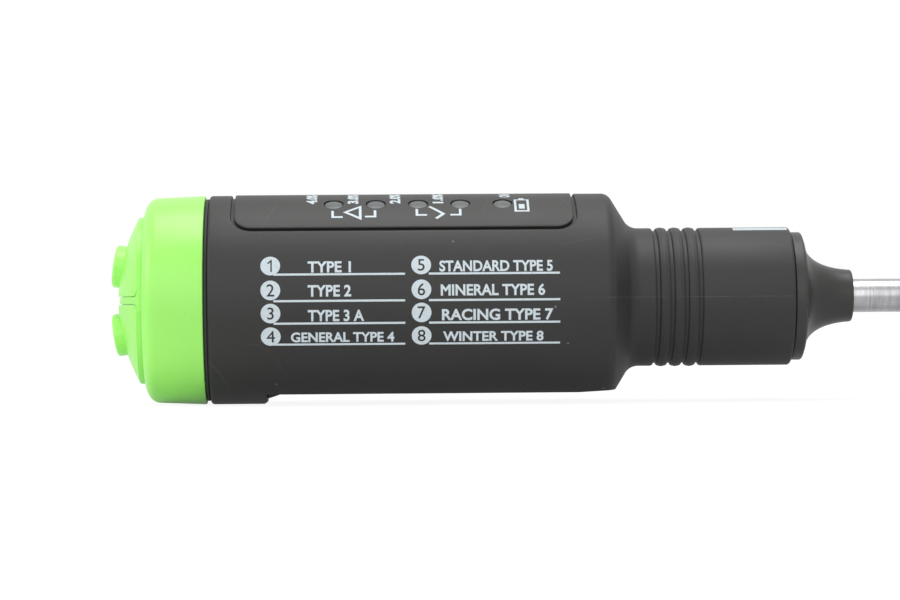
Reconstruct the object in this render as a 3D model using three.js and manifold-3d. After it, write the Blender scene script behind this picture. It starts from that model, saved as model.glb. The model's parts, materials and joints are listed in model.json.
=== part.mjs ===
// An electronic brake fluid tester, built as an assembly of its separate pieces.
// Millimetres, +Z up. The tool's axis runs along +X, from the button pads to the probe,
// and the display is on top.
import * as THREE from "three";
import { mergeVertices } from "three/addons/utils/BufferGeometryUtils.js";
import Module from "manifold-3d";

const wasm = await Module();
wasm.setup();

const degrees = Math.PI / 180;

// Clearances
const pressGap = 0.05; // between pieces pushed together for good
const seatGap = 0.1; // between faces that rest on each other
const slideGap = 0.2; // between pieces that slide or swing past each other
const overrun = 1; // how far a cutting shape runs past what it cuts

// Facets round a full turn
const barrelSides = 44;
const noseSides = 28;
const tubeSides = 24;
const pinSides = 12;
const screwSides = 8;
const windowSides = 16;
const padSides = 20;
const edgeSteps = 3;
const bendSteps = 5;
const domeSteps = 6;
const capBarSteps = 12;
const halfRoundSteps = 16;
const panelCornerSteps = 4;
const panelSteps = 14;

// Barrel, shoulder and neck of the housing
const barrelRadius = 20;
const barrelWall = 2.9;
const ribRoot = 0.7; // how far an inner rib runs into the wall
const barrelFrontMargin = 4.55; // battery door to the shoulder
const barrelRearChamfer = 0.6;
const shoulderEdgeRadius = 2.2;
const shoulderAngle = 58.5 * degrees;
const neckFilletRadius = 3;
const neckRadius = 13.25;
const neckWall = 1.8;
const neckLength = 29.4;
const neckEdgeRadius = 0.5;
const grooveCount = 4;
const grooveStart = 3.3;
const groovePitch = 2.7;
const grooveWidth = 1.0;
const grooveDepth = 0.4;
const grooveFloorShare = 1 / 3; // of the groove's width

// Flat belly
const bellyCut = 2.0; // how deep the flat lies inside the barrel's round
const bellyWall = 2.6;
const bellyStart = 10.8; // barrel's rear face to the step
const bellyStepChamferLength = 0.7;
const bellyStepChamferDepth = 0.5;
const bellyFrontRise = 0.45;

// End cap, cap seal
const capLength = 11.5;
const capRearDrop = 0.05; // the cap's rear edge lies this far inside the barrel's round
const capWall = 1.6;
const capTaper = 0.35;
const capLipReach = 3.85; // how far the lip stands in from the barrel's round
const capLipHeight = 0.45;
const capLipThickness = 1.75;
const capCrownLength = 2.65;
const capCrownPullShare = 0.25; // how far along the crown its curve is drawn to
const capCrownDrop = 0.1;
const capRearEdge = 0.25;
const capBarWidth = 1.2;
const capBarThickness = 1.6;
const capBarSink = 0.9; // below the button domes
const capKeyWidth = 2;
const capKeyDepth = 1;
const capKeyLength = 5;
const sealWidth = 0.85;
const sealDrop = 0.85;

// Buttons
const domeRise = 4.3; // apex of the domes in front of their edge at the cap's mouth
const domeProud = 5.2; // apex of the domes in front of the cap's lip
const buttonWall = 1.5;
const buttonCornerRadius = 1.2;
const buttonFlangeThickness = 0.8;
const buttonFlangeReach = 0.4; // gap to the cap's bore
const buttonFlangeSpan = 5.5; // the flange starts this far above the split
const buttonTravel = 0.8;
const buttonPostRadius = 1.6;
const buttonPostHeight = 7.2; // from the axis
const buttonPostLength = 0.8; // beyond the flange
const padProud = 1.35;
const padHalfWidth = 6;
const padHalfHeight = 4.05;
const padHeight = 6.6; // centre of a pad, from the axis
const padSlant = 8.4 * degrees;
const padEdgeRadius = 0.5;

// Switch board and its switches
const plungerGap = 0.9;
const plungerRadius = 1.7;
const plungerLength = 0.8;
const switchBodyHeight = 3.5;
const switchBodySize = 6;
const switchBoardThickness = 1.0;
const switchBoardPostY = 11;
const switchBoardPostZ = 8.4;
const switchBoardPostLength = 3.1;

// Display panel
const panelStart = 4.95; // barrel's rear face to the panel
const panelFrontMargin = 5.65; // panel to the shoulder
const panelHalfAngle = 47.8 * degrees;
const panelCornerRadius = 3.2;
const panelThickness = 0.5;
const panelProud = 0.1;
const panelGroove = 0.7;

// Indicator lenses in the panel, and the LEDs under them
const windowCount = 5;
const windowPitch = 8;
const windowRowShift = 2.75; // row's middle in front of the panel's middle
const windowTilt = 26 * degrees; // off the top, towards the reading side
const windowRadius = 1.85;
const lensRadius = 1.7;
const lensCrown = 0.35;
const lensCrownShares = { height: 0.7, radius: 0.6 }; // a point on the crown between rim and middle
const lensSink = 0.2;
const ledLength = 3.2;
const ledWidth = 2.8;
const ledHeight = 1.9;
const ledDomeRadius = 1.1;
const ledDomeRoot = 0.5; // how far the dome runs into the body
const ledDomeShares = { height: 0.4, radius: 0.7 }; // a point on the dome between rim and top
const ledGap = 0.4;

// Battery, its contacts and the door
const cellRadius = 7.1;
const cellLength = 50.5;
const cellNubRadius = 2.6;
const cellNubLength = 1.3;
const cellEdgeRadius = 0.7;
const cellStandoff = 0.7; // cell to the door's inner face
const cellPlay = 0.3;
const cellSidePlay = 0.25; // cell to the opening's sides
const contactThickness = 0.4;
const contactHalfWidth = 4.5;
const contactTabHalfWidth = 1;
const springLength = 4.2;
const springTurns = 3;
const springWireRadius = 0.3;
const springWideRadius = 4.0;
const springNarrowRadius = 2.6;
const springStepsPerTurn = 12;
const springSides = 6;
const doorThickness = 1.6;
const doorFrontMargin = 1.8; // battery bay to the door's front edge
const doorLedge = 0.75;
const doorLipHeight = 0.8;
const doorLipLength = 2.3;
const hingeRadius = 1.0;
const hingePinRadius = 0.65;
const hingePinLength = 0.75;
const doorRibThickness = 1;
const doorRibOffset = 3.2;
const doorRibInset = 6;
const doorTongueHalfWidth = 3;
const doorTongueThickness = 0.8;
const doorTongueHeight = 1.8;

// Chassis
const cradleWall = 1.2;
const cradlePlay = 0.5;
const deckThickness = 1.6;
const deckFrontMargin = 4.5;
const flangeThickness = 1.6;
const flangeHoleRadius = 10.5;
const bossInset = 2.9; // axis of the chassis bosses, in from the bore
const bossRadius = 2.2;
const bossLength = 8;
const railReach = 1.5;
const railHeight = 2;
const postRadius = 2;
const boardPostHeight = 5.5;

// Main board and what it carries
const boardThickness = 1.6;
const boardHalfWidth = 13;
const boardRearMargin = 3;
const boardFrontMargin = 5.5;
const boardPostInsetX = 8;
const boardPostInsetY = 2.5;
const chipLength = 10;
const chipWidth = 5;
const chipHeight = 1.5;
const chipStandoff = 0.3;
const chipY = 6;
const chipLegCount = 7;
const chipLegPitch = 1.27;
const chipLegWidth = 0.45;
const chipLegReach = 1.1;
const connectorLength = 4.8;
const connectorWidth = 7;
const connectorHeight = 4;
const connectorWall = 0.8;
const ribbonWidth = 6;
const ribbonThickness = 0.9;
const ribbonLanding = 1.8; // how far the ribbon lies over the main board

// Screws
const screwShankRadius = 0.9;
const screwHeadRadius = 1.8;
const screwHeadHeight = 1.4;
const screwCrownShare = 0.7; // flat on the head, of its radius
const screwLength = 5;
const screwPilotGap = 0.05;
const screwClearanceGap = 0.2;

// Probe
const nosePlugLength = 9;
const noseCollarRadius = 12.3;
const noseCollarLength = 2.2;
const noseStep = 0.9;
const noseLength = 12;
const noseTipRadius = 5;
const noseWaistRadius = 5.6;
const noseEdge = 0.4;
const ringGrooveFromFace = 3;
const ringWireRadius = 0.75;
const tubeRadius = 3.2;
const tubeWall = 0.6;
const tubeLength = 59.5;
const tubeSeatDepth = 5.5; // the plug carries on behind the tube by the rest of its length
const leadBoreRadius = 2.1;
const insulatorLength = 6;
const insulatorSpigotLength = 7;
const insulatorChamfer = 0.7;
const electrodeRadius = 0.6;
const electrodeSpacing = 2.6;
const electrodeReach = 6.5;
const electrodeTail = 1.5;
const leadRadius = 0.55;
const leadSteps = 22;
const leadSides = 8;
const leadEndGap = 0.3;

// Places along the axis, worked out from the sizes above; zero is at the pads' outer faces
const domeApexX = padProud;
const capFrontX = domeApexX + domeProud;
const capRearX = capFrontX + capLength;
const barrelRearX = capRearX + sealWidth + 2 * pressGap;
const bellyRearX = barrelRearX + bellyStart;
const doorRearX = bellyRearX + slideGap;
const openingRearX = bellyRearX + doorLedge + seatGap;
const openingHalfWidth = cellRadius + cellSidePlay;
const doorHalfWidth = openingHalfWidth + doorLedge - slideGap;
const bayRearX = openingRearX + doorTongueThickness + pressGap;
const springX = bayRearX + contactThickness + 2 * pressGap;
const cellRearX = springX + springLength + pressGap;
const cellFrontX = cellRearX + cellLength;
const bayFrontX = cellFrontX + contactThickness + 2 * pressGap;
const doorFrontX = bayFrontX + doorFrontMargin;
const hingeX = doorFrontX - hingeRadius;
const openingFrontX = hingeX - hingeRadius - slideGap;

const shoulderX = doorFrontX + barrelFrontMargin;
const shoulderEdgeX = shoulderX + shoulderEdgeRadius * Math.sin(shoulderAngle);
const shoulderEdgeR = barrelRadius - shoulderEdgeRadius * (1 - Math.cos(shoulderAngle));
const filletTopR = neckRadius + neckFilletRadius * (1 - Math.cos(shoulderAngle));
const filletTopX = shoulderEdgeX + (shoulderEdgeR - filletTopR) / Math.tan(shoulderAngle);
const neckStartX = filletTopX + neckFilletRadius * Math.sin(shoulderAngle);
const neckEndX = neckStartX + neckLength;
const boreRadius = barrelRadius - barrelWall;
const neckBoreRadius = neckRadius - neckWall;

const capRearRadius = barrelRadius - capRearDrop;
const capBoreRadius = capRearRadius - capWall;
const capMouthRadius = barrelRadius - capLipReach;
const domeSphereRadius = (capMouthRadius ** 2 + domeRise ** 2) / (2 * domeRise);
const spigotRadius = capBoreRadius - seatGap;
const flangeFrontX = capFrontX + capLipThickness + seatGap;
const flangeRearX = flangeFrontX + buttonFlangeThickness;
const spigotRearX = flangeRearX + buttonTravel + slideGap + seatGap;

const postEndX = flangeRearX + buttonPostLength;
const plungerX = postEndX + plungerGap;
const switchBoardRearX = plungerX + plungerLength + switchBodyHeight + pressGap;
const switchBoardFrontX = switchBoardRearX + switchBoardThickness;
const chassisFlangeX = switchBoardFrontX + pressGap + switchBoardPostLength;
const bossRearX = chassisFlangeX + flangeThickness + pressGap;
const bossY = boreRadius - bossInset;

const bellyZ = -(barrelRadius - bellyCut);
const bellyInnerZ = bellyZ + bellyWall;
const doorInnerZ = bellyZ + doorThickness;
const hingeZ = bellyZ + hingeRadius;

const cellZ = doorInnerZ + cellStandoff + cellRadius;
const deckBottomZ = cellZ + cellRadius + cellPlay;
const deckTopZ = deckBottomZ + deckThickness;
const cradleHalfWidth = cellRadius + cradlePlay;

const boardZ = deckTopZ + boardPostHeight + pressGap;
const boardTopZ = boardZ + boardThickness;
const boardRearX = bayRearX - boardRearMargin;
const boardFrontX = bayFrontX + boardFrontMargin;
const connectorFrontX = boardFrontX - slideGap;
const connectorRearX = connectorFrontX - connectorLength;

const panelRearX = barrelRearX + panelStart;
const panelFrontX = shoulderX - panelFrontMargin;
const panelOuterRadius = barrelRadius + panelProud;
const panelInnerRadius = panelOuterRadius - panelThickness;
const windowRowX = (panelRearX + panelFrontX) / 2 + windowRowShift;

const noseFaceX = neckEndX + seatGap;
const nosePlugRadius = neckBoreRadius - seatGap;
const noseRearX = noseFaceX - nosePlugLength;
const noseTipX = noseFaceX + noseLength;
const tubeRearX = noseFaceX - tubeSeatDepth;
const tubeFrontX = tubeRearX + tubeLength;
const tubeBoreRadius = tubeRadius - tubeWall;
const insulatorRearX = tubeFrontX - insulatorSpigotLength;
const insulatorFrontX = tubeFrontX + pressGap + insulatorLength;
const electrodeRearX = insulatorRearX - electrodeTail;
const electrodeFrontX = insulatorFrontX + electrodeReach;

// Turns a closed three.js geometry into a solid that can be joined and cut
function solid(geometry) {
  const bare = geometry.index ? geometry.toNonIndexed() : geometry.clone();
  bare.deleteAttribute("normal");
  bare.deleteAttribute("uv");
  const merged = mergeVertices(bare);
  const triVerts = new Uint32Array(merged.index.array);
  const vertProperties = new Float32Array(merged.attributes.position.array);
  return new wasm.Manifold(new wasm.Mesh({ numProp: 3, vertProperties, triVerts }));
}

// Turns a solid back into a geometry that a mesh can show
function geometryOf(body) {
  const { vertProperties, triVerts } = body.getMesh();
  const geometry = new THREE.BufferGeometry();
  geometry.setAttribute("position", new THREE.BufferAttribute(vertProperties, 3));
  geometry.setIndex(new THREE.BufferAttribute(triVerts, 1));
  const flat = geometry.toNonIndexed();
  flat.computeVertexNormals();
  return flat;
}

const join = (first, ...others) => others.reduce((whole, piece) => whole.add(piece), first);
const cut = (first, ...tools) => tools.reduce((whole, tool) => whole.subtract(tool), first);

// Points on an arc of a profile, both ends included
function arc(centreA, centreB, radius, from, to, steps) {
  const points = [];
  for (let i = 0; i <= steps; i++) {
    const angle = from + ((to - from) * i) / steps;
    points.push([centreA + radius * Math.cos(angle), centreB + radius * Math.sin(angle)]);
  }
  return points;
}

// Points on a smooth bend from one point to another, drawn towards a third
function bend(start, pull, end, steps) {
  const curve = new THREE.QuadraticBezierCurve(
    new THREE.Vector2(...start),
    new THREE.Vector2(...pull),
    new THREE.Vector2(...end),
  );
  return curve.getPoints(steps).map((point) => [point.x, point.y]);
}

// A profile of [along the axis, radius] turned round the tool's axis
function revolve(profile, sides = barrelSides) {
  const points = profile.map(([along, radius]) => new THREE.Vector2(radius, along));
  if (THREE.ShapeUtils.area(points) < 0) points.reverse();
  const closed = points[0].x === 0 && points[points.length - 1].x === 0;
  if (!closed) points.push(points[0].clone());
  const geometry = new THREE.LatheGeometry(points, sides);
  const toAxis = new THREE.Matrix4().makeBasis(
    new THREE.Vector3(0, 0, 1),
    new THREE.Vector3(1, 0, 0),
    new THREE.Vector3(0, 1, 0),
  );
  return solid(geometry.applyMatrix4(toAxis));
}

const shapeOf = (outline) => new THREE.Shape(outline.map(([a, b]) => new THREE.Vector2(a, b)));

// An outline of [x, y] raised from one height to another
function prismZ(outline, fromZ, toZ, options = {}) {
  const geometry = new THREE.ExtrudeGeometry(shapeOf(outline), {
    depth: toZ - fromZ,
    bevelEnabled: false,
    ...options,
  });
  return solid(geometry.translate(0, 0, fromZ));
}

// An outline of [x, z] carried across the tool
function prismY(outline, fromY, toY) {
  const geometry = new THREE.ExtrudeGeometry(shapeOf(outline), {
    depth: toY - fromY,
    bevelEnabled: false,
  });
  return solid(geometry.rotateX(90 * degrees).translate(0, toY, 0));
}

// An outline of [y, z] carried along the tool
function prismX(outline, fromX, toX, options = {}) {
  const geometry = new THREE.ExtrudeGeometry(shapeOf(outline), {
    depth: toX - fromX,
    bevelEnabled: false,
    ...options,
  });
  const toAxis = new THREE.Matrix4().makeBasis(
    new THREE.Vector3(0, 1, 0),
    new THREE.Vector3(0, 0, 1),
    new THREE.Vector3(1, 0, 0),
  );
  return solid(geometry.applyMatrix4(toAxis).translate(fromX, 0, 0));
}

function block([x0, x1], [y0, y1], [z0, z1]) {
  const geometry = new THREE.BoxGeometry(x1 - x0, y1 - y0, z1 - z0);
  return solid(geometry.translate((x0 + x1) / 2, (y0 + y1) / 2, (z0 + z1) / 2));
}

// A round rod between two points
function rod(from, to, radius, sides = pinSides) {
  const start = new THREE.Vector3(...from);
  const end = new THREE.Vector3(...to);
  const along = end.clone().sub(start);
  const geometry = new THREE.CylinderGeometry(radius, radius, along.length(), sides);
  const turn = new THREE.Quaternion().setFromUnitVectors(new THREE.Vector3(0, 1, 0), along.normalize());
  geometry.applyQuaternion(turn);
  const middle = start.add(end).multiplyScalar(0.5);
  return solid(geometry.translate(middle.x, middle.y, middle.z));
}

// A plate bent round the tool's axis over the top, with rounded corners.
// It is lofted from one rectangular section to the next, round the axis.
function wrappedPlate(rearX, frontX, halfAngle, cornerRadius, innerRadius, outerRadius) {
  const sections = [];
  for (let i = 0; i <= panelCornerSteps; i++) {
    const turn = (90 * degrees * i) / panelCornerSteps;
    const fromEdge = cornerRadius * (1 - Math.cos(turn));
    sections.push({ angle: halfAngle - fromEdge / outerRadius, inset: cornerRadius * (1 - Math.sin(turn)) });
  }
  const straight = sections[panelCornerSteps].angle;
  for (let i = 1; i < panelSteps; i++) {
    sections.push({ angle: straight * (1 - (2 * i) / panelSteps), inset: 0 });
  }
  for (let i = panelCornerSteps; i >= 0; i--) {
    sections.push({ angle: -sections[i].angle, inset: sections[i].inset });
  }
  const positions = [];
  for (const { angle, inset } of sections) {
    const corners = [
      [rearX + inset, innerRadius],
      [frontX - inset, innerRadius],
      [frontX - inset, outerRadius],
      [rearX + inset, outerRadius],
    ];
    for (const [x, r] of corners) positions.push(x, -r * Math.sin(angle), r * Math.cos(angle));
  }
  const faces = [];
  for (let s = 0; s + 1 < sections.length; s++) {
    for (let k = 0; k < 4; k++) {
      const a = 4 * s + k;
      const b = 4 * s + ((k + 1) % 4);
      faces.push(a, b + 4, b, a, a + 4, b + 4);
    }
  }
  const last = 4 * (sections.length - 1);
  faces.push(0, 1, 2, 0, 2, 3, last, last + 2, last + 1, last, last + 3, last + 2);
  const geometry = new THREE.BufferGeometry();
  geometry.setAttribute("position", new THREE.Float32BufferAttribute(positions, 3));
  geometry.setIndex(faces);
  return solid(geometry);
}

// Direction from the axis out through the row of indicator lenses
const windowAxis = [0, -Math.sin(windowTilt), Math.cos(windowTilt)];
const windowXs = [];
for (let i = 0; i < windowCount; i++) {
  windowXs.push(windowRowX + (i - (windowCount - 1) / 2) * windowPitch);
}

// A rod along one lens's direction, between two radii
function windowRod(x, innerRadius, outerRadius, radius) {
  const at = (r) => [x, windowAxis[1] * r, windowAxis[2] * r];
  return rod(at(innerRadius), at(outerRadius), radius, windowSides);
}

// Outside of the housing: spigot under the cap, barrel, shoulder, ribbed neck
function housingOutline() {
  const outline = [
    [spigotRearX, 0],
    [spigotRearX, spigotRadius],
    [barrelRearX, spigotRadius],
    [barrelRearX, barrelRadius - barrelRearChamfer],
    [barrelRearX + barrelRearChamfer, barrelRadius],
  ];
  const edgeTop = 90 * degrees;
  const edgeCentreR = barrelRadius - shoulderEdgeRadius;
  const edgeEnd = edgeTop - shoulderAngle;
  outline.push(...arc(shoulderX, edgeCentreR, shoulderEdgeRadius, edgeTop, edgeEnd, edgeSteps));
  const filletCentreR = neckRadius + neckFilletRadius;
  const filletStart = -edgeTop - shoulderAngle;
  outline.push(...arc(neckStartX, filletCentreR, neckFilletRadius, filletStart, -edgeTop, edgeSteps));
  const floorHalf = (grooveWidth * grooveFloorShare) / 2;
  for (let i = 0; i < grooveCount; i++) {
    const middle = neckStartX + grooveStart + i * groovePitch;
    outline.push([middle - grooveWidth / 2, neckRadius]);
    outline.push([middle - floorHalf, neckRadius - grooveDepth]);
    outline.push([middle + floorHalf, neckRadius - grooveDepth]);
    outline.push([middle + grooveWidth / 2, neckRadius]);
  }
  const frontCentreR = neckRadius - neckEdgeRadius;
  outline.push(...arc(neckEndX - neckEdgeRadius, frontCentreR, neckEdgeRadius, edgeTop, 0, edgeSteps));
  outline.push([neckEndX, 0]);
  return outline;
}

// Inside of the housing: straight bore, then a cone into the neck's bore
function housingBore() {
  const coneStartX = shoulderX - barrelWall / 2;
  const coneEndX = coneStartX + (boreRadius - neckBoreRadius) / Math.tan(shoulderAngle);
  const bore = revolve([
    [spigotRearX - overrun, 0],
    [spigotRearX - overrun, boreRadius],
    [coneStartX, boreRadius],
    [coneEndX, neckBoreRadius],
    [neckEndX + overrun, neckBoreRadius],
    [neckEndX + overrun, 0],
  ]);
  const underBelly = block(
    [bellyRearX - bellyWall, neckStartX],
    [-barrelRadius, barrelRadius],
    [-barrelRadius - overrun, bellyInnerZ],
  );
  return cut(bore, underBelly);
}

// What is taken off below the barrel to leave the flat, stepped at the rear and bevelled at the front
function bellyCutter() {
  const below = -barrelRadius - overrun;
  const outline = [
    [bellyRearX - bellyStepChamferLength - overrun, below - overrun],
    [bellyRearX - bellyStepChamferLength, -barrelRadius],
    [bellyRearX, -barrelRadius + bellyStepChamferDepth],
    [bellyRearX, bellyZ],
    [doorFrontX, bellyZ],
    [shoulderX + barrelWall, bellyZ + bellyFrontRise],
    [neckEndX, bellyZ + bellyFrontRise],
    [neckEndX, below - overrun],
  ];
  return prismY(outline, -barrelRadius, barrelRadius);
}

// The battery opening with the rebate that the door lies in, and the sockets for its hinge pins
function doorCutters() {
  const rebateHalfWidth = doorHalfWidth + slideGap;
  const rebateFrontX = doorFrontX + slideGap;
  const outside = bellyZ - overrun;
  const rebate = block(
    [bellyRearX, rebateFrontX],
    [-rebateHalfWidth, rebateHalfWidth],
    [outside, doorInnerZ + seatGap],
  );
  const opening = block(
    [openingRearX, openingFrontX + overrun],
    [-openingHalfWidth, openingHalfWidth],
    [outside, bellyInnerZ + overrun],
  );
  const hingeBay = block(
    [openingFrontX, rebateFrontX],
    [-rebateHalfWidth, rebateHalfWidth],
    [outside, bellyInnerZ + overrun],
  );
  const socketReach = doorHalfWidth + hingePinLength + slideGap;
  const sockets = rod(
    [hingeX, -socketReach, hingeZ],
    [hingeX, socketReach, hingeZ],
    hingePinRadius + seatGap,
  );
  return [rebate, opening, hingeBay, sockets];
}

// Bosses that the chassis is screwed to, and the rails that its deck slides along
function housingInnerRibs() {
  const pieces = [];
  const railXs = [bossRearX + bossLength, shoulderX - barrelWall];
  const railTopZ = deckBottomZ - seatGap;
  for (const side of [-1, 1]) {
    const y = side * bossY;
    const boss = rod([bossRearX, y, 0], [bossRearX + bossLength, y, 0], bossRadius);
    const ys = [y, side * (boreRadius + ribRoot)].sort((a, b) => a - b);
    const web = block([bossRearX, bossRearX + bossLength], ys, [-bossRadius / 2, bossRadius / 2]);
    const pilot = rod(
      [bossRearX - overrun, y, 0],
      [bossRearX + screwLength, y, 0],
      screwShankRadius + screwPilotGap,
      screwSides,
    );
    pieces.push(cut(join(boss, web), pilot));
    const railYs = [side * (boreRadius - railReach), side * (boreRadius + ribRoot)].sort((a, b) => a - b);
    pieces.push(block(railXs, railYs, [railTopZ - railHeight, railTopZ]));
  }
  return pieces;
}

function makeHousing() {
  const shell = cut(revolve(housingOutline()), housingBore());
  const withRibs = join(shell, ...housingInnerRibs());
  const pocket = wrappedPlate(
    panelRearX - panelGroove,
    panelFrontX + panelGroove,
    panelHalfAngle + panelGroove / barrelRadius,
    panelCornerRadius + panelGroove,
    panelInnerRadius - slideGap,
    barrelRadius + overrun,
  );
  const lightHoles = windowXs.map((x) =>
    windowRod(x, boreRadius - overrun, barrelRadius, lensRadius + pressGap),
  );
  const keyHalfWidth = capKeyWidth / 2 + seatGap;
  const keySlot = block(
    [spigotRearX - overrun, spigotRearX + slideGap + capKeyLength + slideGap],
    [-keyHalfWidth, keyHalfWidth],
    [boreRadius - overrun, barrelRadius],
  );
  return cut(withRibs, bellyCutter(), ...doorCutters(), pocket, ...lightHoles, keySlot);
}

function makeDisplayPanel() {
  const plate = wrappedPlate(
    panelRearX,
    panelFrontX,
    panelHalfAngle,
    panelCornerRadius,
    panelInnerRadius,
    panelOuterRadius,
  );
  const holes = windowXs.map((x) =>
    windowRod(x, panelInnerRadius - overrun, panelOuterRadius + overrun, windowRadius),
  );
  return cut(plate, ...holes);
}

// A crowned round light guide, from just under the panel's face to just above its LED
function makeLens(x) {
  const ledTopZ = boardTopZ + pressGap + ledHeight;
  const innerRadius = (ledTopZ + ledGap + lensRadius * Math.sin(windowTilt)) / Math.cos(windowTilt);
  const rimRadius = panelOuterRadius - lensSink;
  const profile = [
    [innerRadius, 0],
    [innerRadius, lensRadius],
    [rimRadius, lensRadius],
    [rimRadius + lensCrown * lensCrownShares.height, lensRadius * lensCrownShares.radius],
    [rimRadius + lensCrown, 0],
  ];
  const upright = revolve(profile, pinSides).rotate([0, -90, 0]);
  return upright.rotate([windowTilt / degrees, 0, 0]).translate([x, 0, 0]);
}

// Green ring with a rolled front lip, a bar across its mouth and a key that fits the spigot
function makeEndCap() {
  const lipRadius = capMouthRadius + capLipHeight;
  const shoulderRadius = capRearRadius - capTaper;
  const crown = bend(
    [capFrontX, lipRadius],
    [capFrontX + capCrownLength * capCrownPullShare, shoulderRadius - capCrownDrop],
    [capFrontX + capCrownLength, shoulderRadius],
    bendSteps,
  );
  const ring = revolve([
    [capFrontX, capMouthRadius],
    ...crown,
    [capRearX - capRearEdge, capRearRadius],
    [capRearX, capRearRadius - capRearEdge],
    [capRearX, capBoreRadius],
    [capFrontX + capLipThickness, capBoreRadius],
    [capFrontX + capLipThickness, capMouthRadius],
  ]);
  const keyRearX = spigotRearX + slideGap;
  const key = block(
    [keyRearX, keyRearX + capKeyLength],
    [-capKeyWidth / 2, capKeyWidth / 2],
    [capBoreRadius - capKeyDepth, capBoreRadius + capWall / 2],
  );
  return join(ring, makeCapBar(), key);
}

// The bar follows the button domes, a little below them
function makeCapBar() {
  const reach = capMouthRadius + capLipHeight;
  const sphereCentreX = domeApexX + capBarSink + domeSphereRadius;
  const halfTurn = Math.asin(reach / domeSphereRadius);
  const outer = arc(sphereCentreX, 0, domeSphereRadius, Math.PI - halfTurn, Math.PI + halfTurn, capBarSteps);
  const inner = outer.map(([x, y]) => [x + capBarThickness, y]).reverse();
  return prismZ([...outer, ...inner], -capBarWidth / 2, capBarWidth / 2);
}

// Outline of a half-round button in [y, z], inset from the real one where a wall is wanted
function halfRoundOutline(inset) {
  const radius = capMouthRadius - slideGap - inset;
  const flatZ = capBarWidth / 2 + slideGap + inset;
  const corner = buttonCornerRadius;
  const cornerZ = flatZ + corner;
  const cornerY = Math.sqrt((radius - corner) ** 2 - cornerZ ** 2);
  const lean = Math.atan2(cornerZ, cornerY);
  return [
    ...arc(cornerY, cornerZ, corner, -90 * degrees, lean, edgeSteps),
    ...arc(0, 0, radius, lean, Math.PI - lean, halfRoundSteps).slice(1, -1),
    ...arc(-cornerY, cornerZ, corner, Math.PI - lean, 270 * degrees, edgeSteps),
  ];
}

// A plug with a domed front, as deep as a button and set back by one wall where it hollows it
function domedPlug(setBack) {
  const reach = capBoreRadius;
  const centreX = domeApexX + setBack + domeSphereRadius;
  const turn = Math.asin(reach / domeSphereRadius);
  const dome = arc(centreX, 0, domeSphereRadius, Math.PI, Math.PI - turn, domeSteps);
  dome[0] = [domeApexX + setBack, 0];
  return revolve([...dome, [flangeRearX + overrun, reach], [flangeRearX + overrun, 0]], noseSides);
}

// The raised oval that the thumb finds, its outer face slanted to follow the dome
function makePad() {
  const flatHalfWidth = padHalfWidth - padEdgeRadius;
  const flatHalfHeight = padHalfHeight - padEdgeRadius;
  const outline = [];
  for (let i = 0; i < padSides; i++) {
    const angle = (2 * Math.PI * i) / padSides;
    outline.push([flatHalfWidth * Math.cos(angle), flatHalfHeight * Math.sin(angle)]);
  }
  const depth = padProud + domeProud / 2;
  const pad = prismX(outline, -depth, -padEdgeRadius, {
    bevelEnabled: true,
    bevelThickness: padEdgeRadius,
    bevelSize: padEdgeRadius,
    bevelSegments: 2,
  });
  const slantDrop = padHalfHeight * Math.sin(padSlant);
  return pad
    .rotate([0, 180, 0])
    .rotate([0, padSlant / degrees, 0])
    .translate([slantDrop, 0, padHeight]);
}

// Upper button; the lower one is the same piece turned over
function makeButton() {
  const skin = prismX(halfRoundOutline(0), -overrun, flangeRearX).intersect(domedPlug(0));
  const inside = prismX(halfRoundOutline(buttonWall), 0, flangeRearX + overrun);
  const hollow = inside.intersect(domedPlug(buttonWall));
  const flangeRadius = capBoreRadius - buttonFlangeReach;
  const flange = revolve([
    [flangeFrontX, capMouthRadius - slideGap - buttonWall],
    [flangeFrontX, flangeRadius],
    [flangeRearX, flangeRadius],
    [flangeRearX, capMouthRadius - slideGap - buttonWall],
  ]).intersect(block([0, spigotRearX], [-barrelRadius, barrelRadius], [buttonFlangeSpan, barrelRadius]));
  const post = rod(
    [domeApexX + buttonWall, 0, buttonPostHeight],
    [postEndX, 0, buttonPostHeight],
    buttonPostRadius,
  );
  return join(cut(join(skin, makePad()), hollow), flange, post);
}

function makeCapSeal() {
  return revolve([
    [capRearX + pressGap, spigotRadius + pressGap],
    [capRearX + pressGap, barrelRadius - sealDrop],
    [barrelRearX - pressGap, barrelRadius - sealDrop],
    [barrelRearX - pressGap, spigotRadius + pressGap],
  ]);
}

const switchBoardPosts = [
  [-switchBoardPostY, switchBoardPostZ],
  [switchBoardPostY, -switchBoardPostZ],
];

function makeSwitchBoard() {
  const disc = revolve(
    [
      [switchBoardRearX, 0],
      [switchBoardRearX, boreRadius - slideGap],
      [switchBoardFrontX, boreRadius - slideGap],
      [switchBoardFrontX, 0],
    ],
    barrelSides / 2,
  );
  const holes = switchBoardPosts.map(([y, z]) =>
    rod(
      [switchBoardRearX - overrun, y, z],
      [switchBoardFrontX + overrun, y, z],
      screwShankRadius + screwClearanceGap,
      screwSides,
    ),
  );
  return cut(disc, ...holes);
}

// A tactile switch, its plunger towards the button's post
function makeSwitch(z) {
  const half = switchBodySize / 2;
  const bodyRearX = plungerX + plungerLength;
  const body = block([bodyRearX, bodyRearX + switchBodyHeight], [-half, half], [z - half, z + half]);
  return join(body, rod([plungerX, 0, z], [bodyRearX + pressGap, 0, z], plungerRadius));
}

const boardPosts = [];
for (const x of [boardRearX + boardPostInsetX, boardFrontX - boardPostInsetX]) {
  for (const y of [-1, 1]) boardPosts.push([x, y * (boardHalfWidth - boardPostInsetY)]);
}

// Slot that a contact's tab passes through
function tabSlot(x, fromZ, toZ) {
  const halfWidth = contactTabHalfWidth + slideGap;
  return block([x - slideGap, x + contactThickness + slideGap], [-halfWidth, halfWidth], [fromZ, toZ]);
}

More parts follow.
